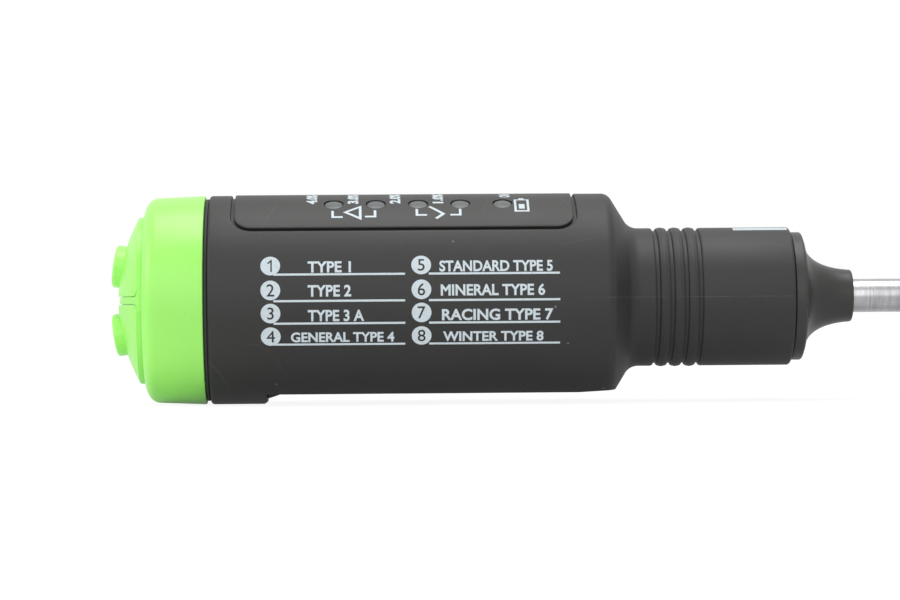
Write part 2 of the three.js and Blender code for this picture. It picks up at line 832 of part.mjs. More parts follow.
const rearTabX = bayRearX + pressGap;
const frontTabX = bayFrontX - pressGap - contactThickness;

// Inverted cradle over the battery, closed at both ends
function makeCradle() {
  const outerHalfWidth = cradleHalfWidth + cradleWall;
  const reach = boreRadius - slideGap - seatGap;
  const tongueTopZ = doorInnerZ + doorTongueHeight;
  const bottomZ = Math.max(-Math.sqrt(reach ** 2 - outerHalfWidth ** 2), tongueTopZ + slideGap);
  const whole = block(
    [bayRearX - cradleWall, bayFrontX + cradleWall],
    [-outerHalfWidth, outerHalfWidth],
    [bottomZ, deckTopZ],
  );
  const trough = block(
    [bayRearX, bayFrontX],
    [-cradleHalfWidth, cradleHalfWidth],
    [bottomZ - overrun, cellZ],
  );
  const roof = rod([bayRearX, 0, cellZ], [bayFrontX, 0, cellZ], cradleHalfWidth, tubeSides);
  const roofLimit = block([bayRearX, bayFrontX], [-cradleHalfWidth, cradleHalfWidth], [cellZ, deckBottomZ]);
  return cut(whole, trough, roof.intersect(roofLimit));
}

function makeChassis() {
  const flange = revolve([
    [chassisFlangeX, flangeHoleRadius],
    [chassisFlangeX, boreRadius - slideGap],
    [chassisFlangeX + flangeThickness, boreRadius - slideGap],
    [chassisFlangeX + flangeThickness, flangeHoleRadius],
  ], barrelSides / 2);
  const narrow = bossY - bossRadius - 2 * slideGap;
  const wide = Math.sqrt((boreRadius - slideGap - seatGap) ** 2 - Math.max(deckTopZ, -deckBottomZ) ** 2);
  const wideX = bossRearX + bossLength + 2 * slideGap;
  const deckFrontX = bayFrontX + deckFrontMargin;
  const deck = prismZ(
    [
      [chassisFlangeX, -narrow],
      [wideX, -narrow],
      [wideX, -wide],
      [deckFrontX, -wide],
      [deckFrontX, wide],
      [wideX, wide],
      [wideX, narrow],
      [chassisFlangeX, narrow],
    ],
    deckBottomZ,
    deckTopZ,
  );
  const boardColumns = boardPosts.map(([x, y]) =>
    rod([x, y, deckTopZ - overrun], [x, y, boardZ - pressGap], postRadius),
  );
  const switchColumns = switchBoardPosts.map(([y, z]) =>
    rod([chassisFlangeX - switchBoardPostLength, y, z], [chassisFlangeX + overrun, y, z], postRadius),
  );
  const pilotRadius = screwShankRadius + screwPilotGap;
  const boardPilots = boardPosts.map(([x, y]) =>
    rod([x, y, boardTopZ - screwLength - slideGap], [x, y, boardTopZ], pilotRadius, screwSides),
  );
  const flangeEndX = chassisFlangeX + flangeThickness + overrun;
  const switchPilots = switchBoardPosts.map(([y, z]) =>
    rod([switchBoardRearX, y, z], [flangeEndX, y, z], pilotRadius, screwSides),
  );
  const bossHoles = [-1, 1].map((side) =>
    rod(
      [chassisFlangeX - overrun, side * bossY, 0],
      [flangeEndX, side * bossY, 0],
      screwShankRadius + screwClearanceGap,
      screwSides,
    ),
  );
  const slots = [rearTabX, frontTabX].map((x) => tabSlot(x, deckBottomZ - overrun, deckTopZ + overrun));
  const body = join(flange, deck, makeCradle(), ...boardColumns, ...switchColumns);
  return cut(body, ...boardPilots, ...switchPilots, ...bossHoles, ...slots);
}

function makeMainBoard() {
  const plate = block([boardRearX, boardFrontX], [-boardHalfWidth, boardHalfWidth], [boardZ, boardTopZ]);
  const holeRadius = screwShankRadius + screwClearanceGap;
  const holes = boardPosts.map(([x, y]) =>
    rod([x, y, boardZ - overrun], [x, y, boardTopZ + overrun], holeRadius, screwSides),
  );
  const slots = [rearTabX, frontTabX].map((x) => tabSlot(x, boardZ - overrun, boardTopZ + overrun));
  return cut(plate, ...holes, ...slots);
}

// A surface LED with a low dome, under its lens
function makeLed(x) {
  const baseZ = boardTopZ + pressGap;
  const topZ = baseZ + ledHeight;
  const y = -topZ * Math.tan(windowTilt);
  const rimZ = topZ - ledDomeRadius / 2;
  const body = block(
    [x - ledLength / 2, x + ledLength / 2],
    [y - ledWidth / 2, y + ledWidth / 2],
    [baseZ, rimZ],
  );
  const dome = revolve(
    [
      [rimZ - ledDomeRoot, 0],
      [rimZ - ledDomeRoot, ledDomeRadius],
      [rimZ, ledDomeRadius],
      [rimZ + ledDomeRadius * ledDomeShares.height, ledDomeRadius * ledDomeShares.radius],
      [topZ, 0],
    ],
    pinSides,
  )
    .rotate([0, -90, 0])
    .translate([x, y, 0]);
  return join(body, dome);
}

function makeControllerChip() {
  const baseZ = boardTopZ + pressGap;
  const middleX = windowRowX;
  const body = block(
    [middleX - chipLength / 2, middleX + chipLength / 2],
    [chipY - chipWidth / 2, chipY + chipWidth / 2],
    [baseZ + chipStandoff, baseZ + chipStandoff + chipHeight],
  );
  const legs = [];
  for (let i = 0; i < chipLegCount; i++) {
    const x = middleX + (i - (chipLegCount - 1) / 2) * chipLegPitch;
    const reach = chipWidth / 2 + chipLegReach;
    legs.push(
      block(
        [x - chipLegWidth / 2, x + chipLegWidth / 2],
        [chipY - reach, chipY + reach],
        [baseZ, baseZ + chipStandoff + chipLegWidth / 2],
      ),
    );
  }
  return join(body, ...legs);
}

function makeProbeConnector() {
  const baseZ = boardTopZ + pressGap;
  const half = connectorWidth / 2;
  const wall = connectorWall;
  const shell = block([connectorRearX, connectorFrontX], [-half, half], [baseZ, baseZ + connectorHeight]);
  const mouth = block(
    [connectorRearX + connectorLength / 2, connectorFrontX + overrun],
    [-half + wall, half - wall],
    [baseZ + wall, baseZ + connectorHeight - wall],
  );
  return cut(shell, mouth);
}

// A round wire along a smooth route
function sweep(route, radius) {
  const points = route.map((point) => new THREE.Vector3(...point));
  const section = circleSection(radius, leadSides);
  const geometry = new THREE.ExtrudeGeometry(shapeOf(section), {
    steps: leadSteps,
    extrudePath: new THREE.CatmullRomCurve3(points, false, "centripetal"),
    bevelEnabled: false,
  });
  return solid(geometry);
}

function circleSection(radius, sides) {
  const points = [];
  for (let i = 0; i < sides; i++) {
    const angle = (2 * Math.PI * i) / sides;
    points.push([radius * Math.cos(angle), radius * Math.sin(angle)]);
  }
  return points;
}

// Flat lead between the two boards: out of the switch board, down a little, on to the main board's end
function makeRibbonLead() {
  const startX = switchBoardFrontX + pressGap;
  const endX = boardRearX + ribbonLanding;
  const turnX = endX - ribbonThickness;
  const topZ = boardTopZ + ribbonThickness;
  const crestZ = topZ + ribbonThickness;
  const middleX = (startX + endX) / 2;
  const outline = [
    [startX, topZ],
    ...bend([middleX, crestZ], [turnX, crestZ], [endX, topZ], bendSteps),
    [endX, boardTopZ + pressGap],
    [turnX, boardTopZ + pressGap],
    [turnX, topZ - ribbonThickness / 2],
    ...bend([turnX, topZ], [middleX, topZ], [startX, topZ - ribbonThickness], bendSteps).slice(1),
  ];
  return prismY(outline, -ribbonWidth / 2, ribbonWidth / 2);
}

// Alkaline round cell: can, rounded rear edge, raised nub in front
function makeCell() {
  const canFrontX = cellFrontX - cellNubLength;
  const cell = revolve(
    [
      [cellRearX, 0],
      [cellRearX, cellRadius - cellEdgeRadius],
      [cellRearX + cellEdgeRadius, cellRadius],
      [canFrontX - cellEdgeRadius, cellRadius],
      [canFrontX, cellRadius - cellEdgeRadius],
      [canFrontX, cellNubRadius],
      [cellFrontX - cellEdgeRadius / 2, cellNubRadius],
      [cellFrontX, cellNubRadius - cellEdgeRadius / 2],
      [cellFrontX, 0],
    ],
    tubeSides,
  );
  return cell.translate([0, 0, cellZ]);
}

// Sheet-metal contact with a tab that rises through the deck to the main board
function makeContactPlate(x) {
  const plate = block(
    [x, x + contactThickness],
    [-contactHalfWidth, contactHalfWidth],
    [cellZ - contactHalfWidth, cellZ + contactHalfWidth],
  );
  const tab = block(
    [x, x + contactThickness],
    [-contactTabHalfWidth, contactTabHalfWidth],
    [cellZ, boardTopZ + contactThickness],
  );
  return join(plate, tab);
}

class SpringCurve extends THREE.Curve {
  getPoint(t, target = new THREE.Vector3()) {
    const angle = 2 * Math.PI * springTurns * t;
    const radius = THREE.MathUtils.lerp(springWideRadius, springNarrowRadius, t);
    const x = THREE.MathUtils.lerp(springX + springWireRadius, springX + springLength - springWireRadius, t);
    return target.set(x, radius * Math.cos(angle), cellZ + radius * Math.sin(angle));
  }
}

// Rings of wire round the spring's curve, capped at both ends
function makeBatterySpring() {
  const curve = new SpringCurve();
  const steps = springTurns * springStepsPerTurn;
  const nearEndShare = 1e-4; // the tangent is taken just inside the curve's ends
  const positions = [];
  const faces = [];
  for (let i = 0; i <= steps; i++) {
    const centre = curve.getPoint(i / steps);
    const inside = THREE.MathUtils.clamp(i / steps, nearEndShare, 1 - nearEndShare);
    const tangent = curve.getTangent(inside);
    const outward = new THREE.Vector3(0, centre.y, centre.z - cellZ).normalize();
    const across = tangent.clone().cross(outward).normalize();
    const upright = across.clone().cross(tangent);
    for (let k = 0; k < springSides; k++) {
      const angle = (2 * Math.PI * k) / springSides;
      const point = centre
        .clone()
        .addScaledVector(upright, springWireRadius * Math.cos(angle))
        .addScaledVector(across, springWireRadius * Math.sin(angle));
      positions.push(point.x, point.y, point.z);
    }
  }
  for (let i = 0; i < steps; i++) {
    for (let k = 0; k < springSides; k++) {
      const a = i * springSides + k;
      const b = i * springSides + ((k + 1) % springSides);
      faces.push(a, b, b + springSides, a, b + springSides, a + springSides);
    }
  }
  const last = steps * springSides;
  for (let k = 1; k + 1 < springSides; k++) {
    faces.push(0, k + 1, k, last, last + k, last + k + 1);
  }
  const geometry = new THREE.BufferGeometry();
  geometry.setAttribute("position", new THREE.Float32BufferAttribute(positions, 3));
  geometry.setIndex(faces);
  return solid(geometry);
}

// Battery door: flat plate with a raised finger lip at the rear and a hinge barrel in front
function makeBatteryDoor() {
  const outline = [
    [doorRearX, doorInnerZ],
    [doorRearX, bellyZ - doorLipHeight],
    [doorRearX + doorLipLength, bellyZ],
    ...arc(hingeX, hingeZ, hingeRadius, -90 * degrees, 90 * degrees, domeSteps),
    [hingeX - hingeRadius, doorInnerZ],
  ];
  const round = revolve(
    [
      [doorRearX - overrun, 0],
      [doorRearX - overrun, barrelRadius],
      [doorFrontX + overrun, barrelRadius],
      [doorFrontX + overrun, 0],
    ],
    barrelSides,
  );
  const plate = prismY(outline, -doorHalfWidth, doorHalfWidth).intersect(round);
  const pinReach = doorHalfWidth + hingePinLength;
  const pins = rod([hingeX, -pinReach, hingeZ], [hingeX, pinReach, hingeZ], hingePinRadius);
  const ribInnerY = doorRibOffset - doorRibThickness / 2;
  const ribTopZ = cellZ - Math.sqrt(cellRadius ** 2 - ribInnerY ** 2) - cellPlay;
  const ribs = [-1, 1].map((side) => {
    const y = side * doorRibOffset;
    return block(
      [doorRearX + doorRibInset, hingeX - doorRibInset],
      [y - doorRibThickness / 2, y + doorRibThickness / 2],
      [doorInnerZ - overrun, ribTopZ],
    );
  });
  const tongueX = openingRearX + slideGap;
  const tongue = block(
    [tongueX, tongueX + doorTongueThickness],
    [-doorTongueHalfWidth, doorTongueHalfWidth],
    [doorInnerZ - overrun, doorInnerZ + doorTongueHeight],
  );
  return join(plate, pins, ...ribs, tongue);
}

// Pan-head screw along +X: underside of the head at zero, shank in front of it
function makeScrew() {
  return revolve(
    [
      [-screwHeadHeight, 0],
      [-screwHeadHeight, screwHeadRadius * screwCrownShare],
      [-screwHeadHeight / 2, screwHeadRadius],
      [0, screwHeadRadius],
      [0, screwShankRadius],
      [screwLength - screwShankRadius, screwShankRadius],
      [screwLength, 0],
    ],
    screwSides,
  );
}

// Plug in the neck, collar against its front face, then a waisted nose that holds the tube
function makeProbeNose() {
  const ringX = noseFaceX - ringGrooveFromFace;
  const grooveHalf = ringWireRadius + seatGap;
  const grooveFloor = nosePlugRadius - 2 * ringWireRadius - slideGap;
  const collarFrontX = noseFaceX + noseCollarLength;
  const waist = bend(
    [collarFrontX, noseCollarRadius - noseStep],
    [collarFrontX + noseEdge, noseWaistRadius],
    [noseTipX - noseEdge, noseTipRadius],
    bendSteps,
  );
  const body = revolve([
    [noseRearX, 0],
    [noseRearX, nosePlugRadius - noseEdge],
    [noseRearX + noseEdge, nosePlugRadius],
    [ringX - grooveHalf, nosePlugRadius],
    [ringX - grooveHalf, grooveFloor],
    [ringX + grooveHalf, grooveFloor],
    [ringX + grooveHalf, nosePlugRadius],
    [noseFaceX, nosePlugRadius],
    [noseFaceX, noseCollarRadius - noseEdge],
    [noseFaceX + noseEdge, noseCollarRadius],
    [collarFrontX - noseEdge, noseCollarRadius],
    [collarFrontX, noseCollarRadius - noseEdge],
    ...waist,
    [noseTipX, noseTipRadius - noseEdge],
    [noseTipX, 0],
  ], noseSides);
  const seatRadius = tubeRadius + pressGap;
  const tubeSeat = rod([tubeRearX - pressGap, 0, 0], [noseTipX + overrun, 0, 0], seatRadius, tubeSides);
  const leadBore = rod([noseRearX - overrun, 0, 0], [tubeRearX + overrun, 0, 0], leadBoreRadius);
  return cut(body, tubeSeat, leadBore);
}

function makeNoseSeal() {
  const ringX = noseFaceX - ringGrooveFromFace;
  const ringR = neckBoreRadius - pressGap - ringWireRadius;
  const section = arc(ringX, ringR, ringWireRadius, 0, 2 * Math.PI, domeSteps).slice(0, -1);
  return revolve(section, tubeSides);
}

function makeProbeTube() {
  return revolve(
    [
      [tubeRearX, tubeBoreRadius],
      [tubeRearX, tubeRadius],
      [tubeFrontX, tubeRadius],
      [tubeFrontX, tubeBoreRadius],
    ],
    tubeSides,
  );
}

const electrodeYs = [-electrodeSpacing / 2, electrodeSpacing / 2];

function makeProbeInsulator() {
  const spigot = tubeBoreRadius - pressGap;
  const shoulder = tubeFrontX + pressGap;
  const body = revolve(
    [
      [insulatorRearX, 0],
      [insulatorRearX, spigot],
      [shoulder, spigot],
      [shoulder, tubeRadius],
      [insulatorFrontX - insulatorChamfer, tubeRadius],
      [insulatorFrontX, tubeRadius - insulatorChamfer],
      [insulatorFrontX, 0],
    ],
    tubeSides,
  );
  const holes = electrodeYs.map((y) =>
    rod([insulatorRearX - overrun, y, 0], [insulatorFrontX + overrun, y, 0], electrodeRadius + pressGap),
  );
  return cut(body, ...holes);
}

function makeElectrode(y) {
  const tip = electrodeRadius / 2;
  return revolve(
    [
      [electrodeRearX, 0],
      [electrodeRearX, electrodeRadius],
      [electrodeFrontX - tip, electrodeRadius],
      [electrodeFrontX, tip],
      [electrodeFrontX, 0],
    ],
    pinSides,
  ).translate([0, y, 0]);
}

// From the connector down to the axis, through the nose and the tube, to the electrode's tail
function makeProbeLead(y) {
  const startZ = boardTopZ + pressGap + connectorHeight / 2;
  const startX = connectorFrontX + leadEndGap;
  const endX = electrodeRearX - leadEndGap;
  const route = [
    [startX, y, startZ],
    [startX + neckFilletRadius, y, startZ],
    [(startX + noseRearX) / 2, y, startZ / 2],
    [noseRearX - neckFilletRadius, y, 0],
    [noseRearX, y, 0],
    [(noseRearX + endX) / 2, y, 0],
    [endX, y, 0],
  ];
  return sweep(route, leadRadius);
}

// Colours and finishes
const finishes = {
  housing: { color: 0x474543, roughness: 0.62, metalness: 0 },
  panel: { color: 0x4a4947, roughness: 0.5, metalness: 0 },
  green: { color: 0x7ee046, roughness: 0.38, metalness: 0 },
  rubber: { color: 0x1c1c1c, roughness: 0.8, metalness: 0 },
  lens: { color: 0x9aa09f, roughness: 0.25, metalness: 0 },
  board: { color: 0x1f6b3a, roughness: 0.5, metalness: 0 },
  black: { color: 0x222222, roughness: 0.55, metalness: 0 },
  white: { color: 0xe6e3da, roughness: 0.5, metalness: 0 },
  grey: { color: 0x6f7072, roughness: 0.6, metalness: 0 },
  steel: { color: 0xb9bbbd, roughness: 0.3, metalness: 1 },
  nickel: { color: 0xc8c6bf, roughness: 0.25, metalness: 1 },
  gold: { color: 0xd2ab57, roughness: 0.25, metalness: 1 },
  cell: { color: 0x3a5f8c, roughness: 0.35, metalness: 0.4 },
  red: { color: 0xb32a22, roughness: 0.5, metalness: 0 },
};

const tool = new THREE.Group();

function place(name, body, finish) {
  const mesh = new THREE.Mesh(geometryOf(body), new THREE.MeshStandardMaterial(finishes[finish]));
  mesh.name = name;
  tool.add(mesh);
  return mesh;
}

place("housing", makeHousing(), "housing");
place("display_panel", makeDisplayPanel(), "panel");
windowXs.forEach((x, i) => {
  place(`led_window_${i + 1}`, makeLens(x), "lens");
  place(`led_${i + 1}`, makeLed(x), "white");
});

place("end_cap", makeEndCap(), "green");
place("cap_seal", makeCapSeal(), "rubber");
const button = makeButton();
place("power_button", button, "green");
place("select_button", button, "green").rotation.x = Math.PI;

place("switch_board", makeSwitchBoard(), "board");
place("power_switch", makeSwitch(buttonPostHeight), "black");
place("select_switch", makeSwitch(-buttonPostHeight), "black");
place("chassis", makeChassis(), "grey");
place("main_board", makeMainBoard(), "board");
place("controller_chip", makeControllerChip(), "black");
place("probe_connector", makeProbeConnector(), "white");
place("board_ribbon", makeRibbonLead(), "grey");

place("battery_cell", makeCell(), "cell");
place("spring_contact", makeContactPlate(rearTabX), "nickel");
place("plate_contact", makeContactPlate(frontTabX), "nickel");
place("battery_spring", makeBatterySpring(), "nickel");
place("battery_door", makeBatteryDoor(), "housing");

const screw = makeScrew();
boardPosts.forEach(([x, y], i) => {
  const mesh = place(`board_screw_${i + 1}`, screw, "steel");
  mesh.rotation.y = 90 * degrees;
  mesh.position.set(x, y, boardTopZ + pressGap);
});
switchBoardPosts.forEach(([y, z], i) => {
  place(`switch_board_screw_${i + 1}`, screw, "steel").position.set(switchBoardRearX - pressGap, y, z);
});
[-1, 1].forEach((side, i) => {
  const mesh = place(`chassis_screw_${i + 1}`, screw, "steel");
  mesh.position.set(chassisFlangeX - pressGap, side * bossY, 0);
});

place("probe_nose", makeProbeNose(), "housing");
place("nose_seal", makeNoseSeal(), "rubber");
place("probe_tube", makeProbeTube(), "steel");
place("probe_insulator", makeProbeInsulator(), "white");
electrodeYs.forEach((y, i) => {
  place(`electrode_${i + 1}`, makeElectrode(y), "gold");
  place(`probe_lead_${i + 1}`, makeProbeLead(y), i ? "black" : "red");
});

// The part lies on its lowest point, with its origin under the middle of its length and width
const extent = new THREE.Box3().setFromObject(tool);
const middle = extent.getCenter(new THREE.Vector3());
tool.position.set(-middle.x, -middle.y, -extent.min.z);
const part = new THREE.Group();
part.add(tool);

export default part;
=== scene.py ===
# Hand-held electronic brake fluid tester: the visual model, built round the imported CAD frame
import json
from math import atan2, ceil, cos, degrees, floor, hypot, pi, radians, sin, sqrt, tan

import bpy
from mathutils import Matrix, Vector


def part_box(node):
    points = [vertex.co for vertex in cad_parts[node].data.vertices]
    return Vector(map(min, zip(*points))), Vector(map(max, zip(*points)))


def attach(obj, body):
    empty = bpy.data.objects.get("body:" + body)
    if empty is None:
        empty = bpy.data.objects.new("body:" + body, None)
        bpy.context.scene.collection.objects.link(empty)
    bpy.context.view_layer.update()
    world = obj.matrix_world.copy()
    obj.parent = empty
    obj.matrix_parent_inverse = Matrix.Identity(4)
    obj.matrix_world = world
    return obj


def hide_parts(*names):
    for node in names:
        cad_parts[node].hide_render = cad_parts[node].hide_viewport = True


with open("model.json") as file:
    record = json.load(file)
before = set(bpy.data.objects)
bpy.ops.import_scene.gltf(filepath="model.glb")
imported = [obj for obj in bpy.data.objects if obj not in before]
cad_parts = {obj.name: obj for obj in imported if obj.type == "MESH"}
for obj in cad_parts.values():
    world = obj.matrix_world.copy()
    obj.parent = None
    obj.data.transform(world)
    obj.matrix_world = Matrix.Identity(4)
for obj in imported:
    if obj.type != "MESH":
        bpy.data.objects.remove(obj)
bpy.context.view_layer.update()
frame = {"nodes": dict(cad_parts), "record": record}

mm = 0.001

# Camera
# It stands level with the tool's axis, almost square to the side that the panel is read from.
tool_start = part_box("housing")[0].x - 10.3 * mm
axis_z = (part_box("probe_tube")[0].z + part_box("probe_tube")[1].z) / 2


def along(distance):
    """Place on the X axis at a distance in mm in front of the button pads."""
    return tool_start + distance * mm


camera_data = bpy.data.cameras.new("camera")
camera_data.lens = 138
camera_data.sensor_width = 36
camera_data.clip_start = 0.02
camera_data.clip_end = 20
camera = bpy.data.objects.new("camera", camera_data)
camera.location = (along(46.8), -0.663, axis_z - 0.3 * mm)
camera.rotation_euler = (pi / 2, radians(0.42), radians(-1.56))
bpy.context.scene.collection.objects.link(camera)
bpy.context.scene.camera = camera
bpy.context.scene.view_settings.view_transform = "Standard"


# Floor, surroundings and lamps
# A pale matte floor under the tool, clear from underneath, and plain white all round it. A wide lamp
# stands in front, a second one hangs above and a weaker one lights the left end.
def connect(socket, value):
    """Links an input to another socket, or gives it a value."""
    if isinstance(value, bpy.types.NodeSocket):
        socket.id_data.links.new(value, socket)
    else:
        socket.default_value = value


def feed(node, **inputs):
    """Connects a node's inputs. Those named a, b and c are its first, second and third."""
    for name, value in inputs.items():
        key = "abc".index(name) if name in ("a", "b", "c") else name.replace("_", " ")
        connect(node.inputs[key], value)


def put(near, kind, settings=None, **inputs):
    """Adds a node with its settings and inputs to a tree, or to the one that holds the socket near it."""
    made = near.id_data.nodes.new("ShaderNode" + kind)
    for name, value in (settings or {}).items():
        setattr(made, name, value)
    feed(made, **inputs)
    return made


def math(operation, a, b=0):
    near = a if isinstance(a, bpy.types.NodeSocket) else b
    return put(near, "Math", {"operation": operation}, a=a, b=b).outputs[0]


def times(product, *factors):
    """A product of two or more values."""
    for factor in factors:
        product = math("MULTIPLY", product, factor)
    return product


def spread(value, low, high, to_low=0, to_high=1):
    """Carries a value from one range to another, and stops at its ends."""
    ends = {"From_Min": low, "From_Max": high, "To_Min": to_low, "To_Max": to_high}
    return put(value, "MapRange", Value=value, **ends).outputs[0]


def seen_directly(tree, *rays):
    """1 where the ray is one of these kinds, as Light Path names them."""
    path = put(tree, "LightPath")
    found = path.outputs[rays[0]]
    for ray in rays[1:]:
        found = math("MAXIMUM", found, path.outputs[ray])
    return found


world = bpy.data.worlds.new("studio")
bpy.context.scene.world = world
world.use_nodes = True
air = world.node_tree
air.nodes.clear()
fill = put(air, "Background", Color=(0.93, 0.96, 1, 1), Strength=0.3)
white = put(air, "Background", Color=(1, 1, 1, 1), Strength=1)
shown = seen_directly(air, "Is Camera Ray", "Is Glossy Ray", "Is Transmission Ray")
sky = put(air, "MixShader", Fac=shown, b=fill.outputs[0], c=white.outputs[0])
put(air, "OutputWorld", Surface=sky.outputs[0])

bpy.ops.mesh.primitive_plane_add(size=6)
studio_floor = bpy.context.object
studio_floor.name = "studio_floor"
floor_paint = bpy.data.materials.new("floor_paint")
floor_paint.use_nodes = True
paint = floor_paint.node_tree
paint.nodes.clear()
# From one distance to the other, in metres, the lit floor goes over into plain white
whitening_start, whitening_end, whiteness_near, whiteness_in_gloss = 0.13, 0.27, 0.85, 0.4
matte = put(paint, "BsdfDiffuse", Color=(0.86, 0.86, 0.86, 1))
pale = put(paint, "BsdfDiffuse", Color=(0.9, 0.9, 0.9, 1))
glow = put(paint, "Emission", Color=(1, 1, 1, 1), Strength=1.07)
from_tool = put(paint, "VectorMath", {"operation": "LENGTH"}, a=put(paint, "TexCoord").outputs["Object"])
far_off = spread(from_tool.outputs["Value"], whitening_start, whitening_end, whiteness_near, 1)
lit = put(paint, "MixShader", Fac=far_off, b=pale.outputs[0], c=glow.outputs[0])
shown = seen_directly(paint, "Is Camera Ray", "Is Transmission Ray")
in_gloss = times(seen_directly(paint, "Is Glossy Ray"), whiteness_in_gloss)
shown = math("MAXIMUM", shown, in_gloss)
top = put(paint, "MixShader", Fac=shown, b=matte.outputs[0], c=lit.outputs[0])
underneath = put(paint, "NewGeometry").outputs["Backfacing"]
clear = put(paint, "BsdfTransparent")
one_sided = put(paint, "MixShader", Fac=underneath, b=top.outputs[0], c=clear.outputs[0])
put(paint, "OutputMaterial", Surface=one_sided.outputs[0])
studio_floor.data.materials.append(floor_paint)


def lamp(name, place, share, size):
    """A square soft lamp aimed at the tool, which puts a share of full daylight on a wall that faces it."""
    data = bpy.data.lights.new(name, "AREA")
    data.size = size
    away = Vector(place)
    data.energy = share * pi ** 2 * away.length_squared
    light = bpy.data.objects.new(name, data)
    light.location = away + Vector((0, 0, axis_z))
    light.rotation_euler = away.to_track_quat("Z", "Y").to_euler()
    bpy.context.scene.collection.objects.link(light)


lamp("front_lamp", (-0.1, -0.75, 0.12), 0.52, 0.9)
lamp("top_lamp", (0.03, 0, 0.7), 0.68, 0.5)
lamp("left_lamp", (-0.7, -0.1, 0.3), 0.3, 0.4)


# Housing
# A hollow moulding in soft-touch plastic: barrel with the flat belly and its battery opening, the pocket
# that the display panel lies in, the shoulder, the ribbed neck, and at the rear the spigot under the cap.
def select_only(piece, *others):
    bpy.ops.object.select_all(action="DESELECT")
    for chosen in (piece, *others):
        chosen.select_set(True)
    bpy.context.view_layer.objects.active = piece


def edit(piece, wanted=None, mode="VERT"):
    """Opens a piece in edit mode, with all of it selected or only the faces that wanted picks."""
    select_only(piece)
    mode = "FACE" if wanted else mode
    bpy.context.tool_settings.mesh_select_mode = [mode == kind for kind in ("VERT", "EDGE", "FACE")]
    if wanted:
        for part in (piece.data.vertices, piece.data.edges, piece.data.polygons):
            part.foreach_set("select", [False] * len(part))
        for face in piece.data.polygons:
            face.select = wanted(face)
    bpy.ops.object.mode_set(mode="EDIT")
    if not wanted:
        bpy.ops.mesh.select_all(action="SELECT")


def leave_edit():
    bpy.ops.object.mode_set(mode="OBJECT")


def added(name):
    """The piece that was just made, under its name."""
    piece = bpy.context.object
    piece.name = piece.data.name = name
    return piece


def set_down(piece, location=(0, 0, 0), rotation=(0, 0, 0), scale=(1, 1, 1)):
    """Gives a piece its place, turn and size, and puts them into its mesh."""
    piece.location = location
    piece.rotation_euler = rotation
    piece.scale = scale
    select_only(piece)
    bpy.ops.object.transform_apply(location=True, rotation=True, scale=True)


def seal_mesh(piece, gap=1e-6):
    """Joins doubled points and turns all faces outwards."""
    edit(piece)
    bpy.ops.mesh.remove_doubles(threshold=gap)
    bpy.ops.mesh.select_all(action="SELECT")
    bpy.ops.mesh.normals_make_consistent(inside=False)
    leave_edit()


def drawn(name, points):
    """A line from point to point, drawn by extruding one vertex."""
    bpy.ops.mesh.primitive_plane_add(size=mm)
    piece = added(name)
    edit(piece)
    bpy.ops.mesh.merge(type="CENTER")
    bpy.ops.transform.translate(value=points[0])
    for here, there in zip(points, points[1:]):
        bpy.ops.mesh.extrude_vertices_move(TRANSFORM_OT_translate={"value": Vector(there) - Vector(here)})
    leave_edit()
    return piece


def turned(name, profile, steps, place=(0, 0, 0), rotation=(0, 0, 0)):
    """A body turned round the X axis from its profile of [distance, radius] in mm, and then set down."""
    piece = drawn(name, [Vector((x * mm, 0, r * mm)) for x, r in profile])
    edit(piece)
    bpy.ops.mesh.spin(steps=steps, angle=2 * pi, center=(0, 0, 0), axis=(1, 0, 0))
    leave_edit()
    seal_mesh(piece)
    set_down(piece, place, rotation)
    return piece


def prism(name, outline, reach):
    """A flat outline of points, filled and pulled along reach."""
    piece = drawn(name, outline + outline[:1])
    edit(piece)
    bpy.ops.mesh.remove_doubles(threshold=1e-6)
    bpy.ops.mesh.edge_face_add()
    bpy.ops.mesh.extrude_region_move(TRANSFORM_OT_translate={"value": reach})
    leave_edit()
    seal_mesh(piece)
    return piece


def block(low, high):
    """A box between two corners."""
    bpy.ops.mesh.primitive_cube_add(size=1)
    piece = bpy.context.object
    low, high = Vector(low), Vector(high)
    set_down(piece, (low + high) / 2, scale=high - low)
    return piece


def modify(piece, kind, **settings):
    """Puts a modifier on a piece, and its result into the piece's mesh."""
    modifier = piece.modifiers.new(kind, kind)
    for name, value in settings.items():
        setattr(modifier, name, value)
    select_only(piece)
    bpy.ops.object.modifier_apply(modifier=modifier.name)


def clear_away(piece):
    select_only(piece)
    bpy.ops.object.delete()


def carve(piece, tool, operation="DIFFERENCE"):
    """Takes a tool's shape off a piece, or adds it, and clears the tool away."""
    modify(piece, "BOOLEAN", operation=operation, object=tool, solver="EXACT")
    clear_away(tool)


def joined(name, pieces):
    select_only(*pieces)
    bpy.ops.object.join()
    return added(name)


def smooth(piece, angle):
    select_only(piece)
    bpy.ops.object.shade_smooth_by_angle(angle=radians(angle))


def arc(centre_x, centre_r, radius, start, end, steps, stretch=1):
    """Points of an arc in [distance, radius], between two angles in degrees from the X axis."""
    turns = [radians(start + (end - start) * i / steps) for i in range(steps + 1)]
    return [(centre_x + stretch * radius * cos(t), centre_r + radius * sin(t)) for t in turns]


def bent_points(start, pull, end, steps):
    """Points of a curve from start, which isn't one of them, to end, drawn towards a pull on its way."""
    turns = [k / steps for k in range(1, steps + 1)]
    return [
        tuple((1 - t) ** 2 * a + 2 * t * (1 - t) * b + t ** 2 * c for a, b, c in zip(start, pull, end))
        for t in turns
    ]


wrap_radius = 20
wrap_step = radians(2)


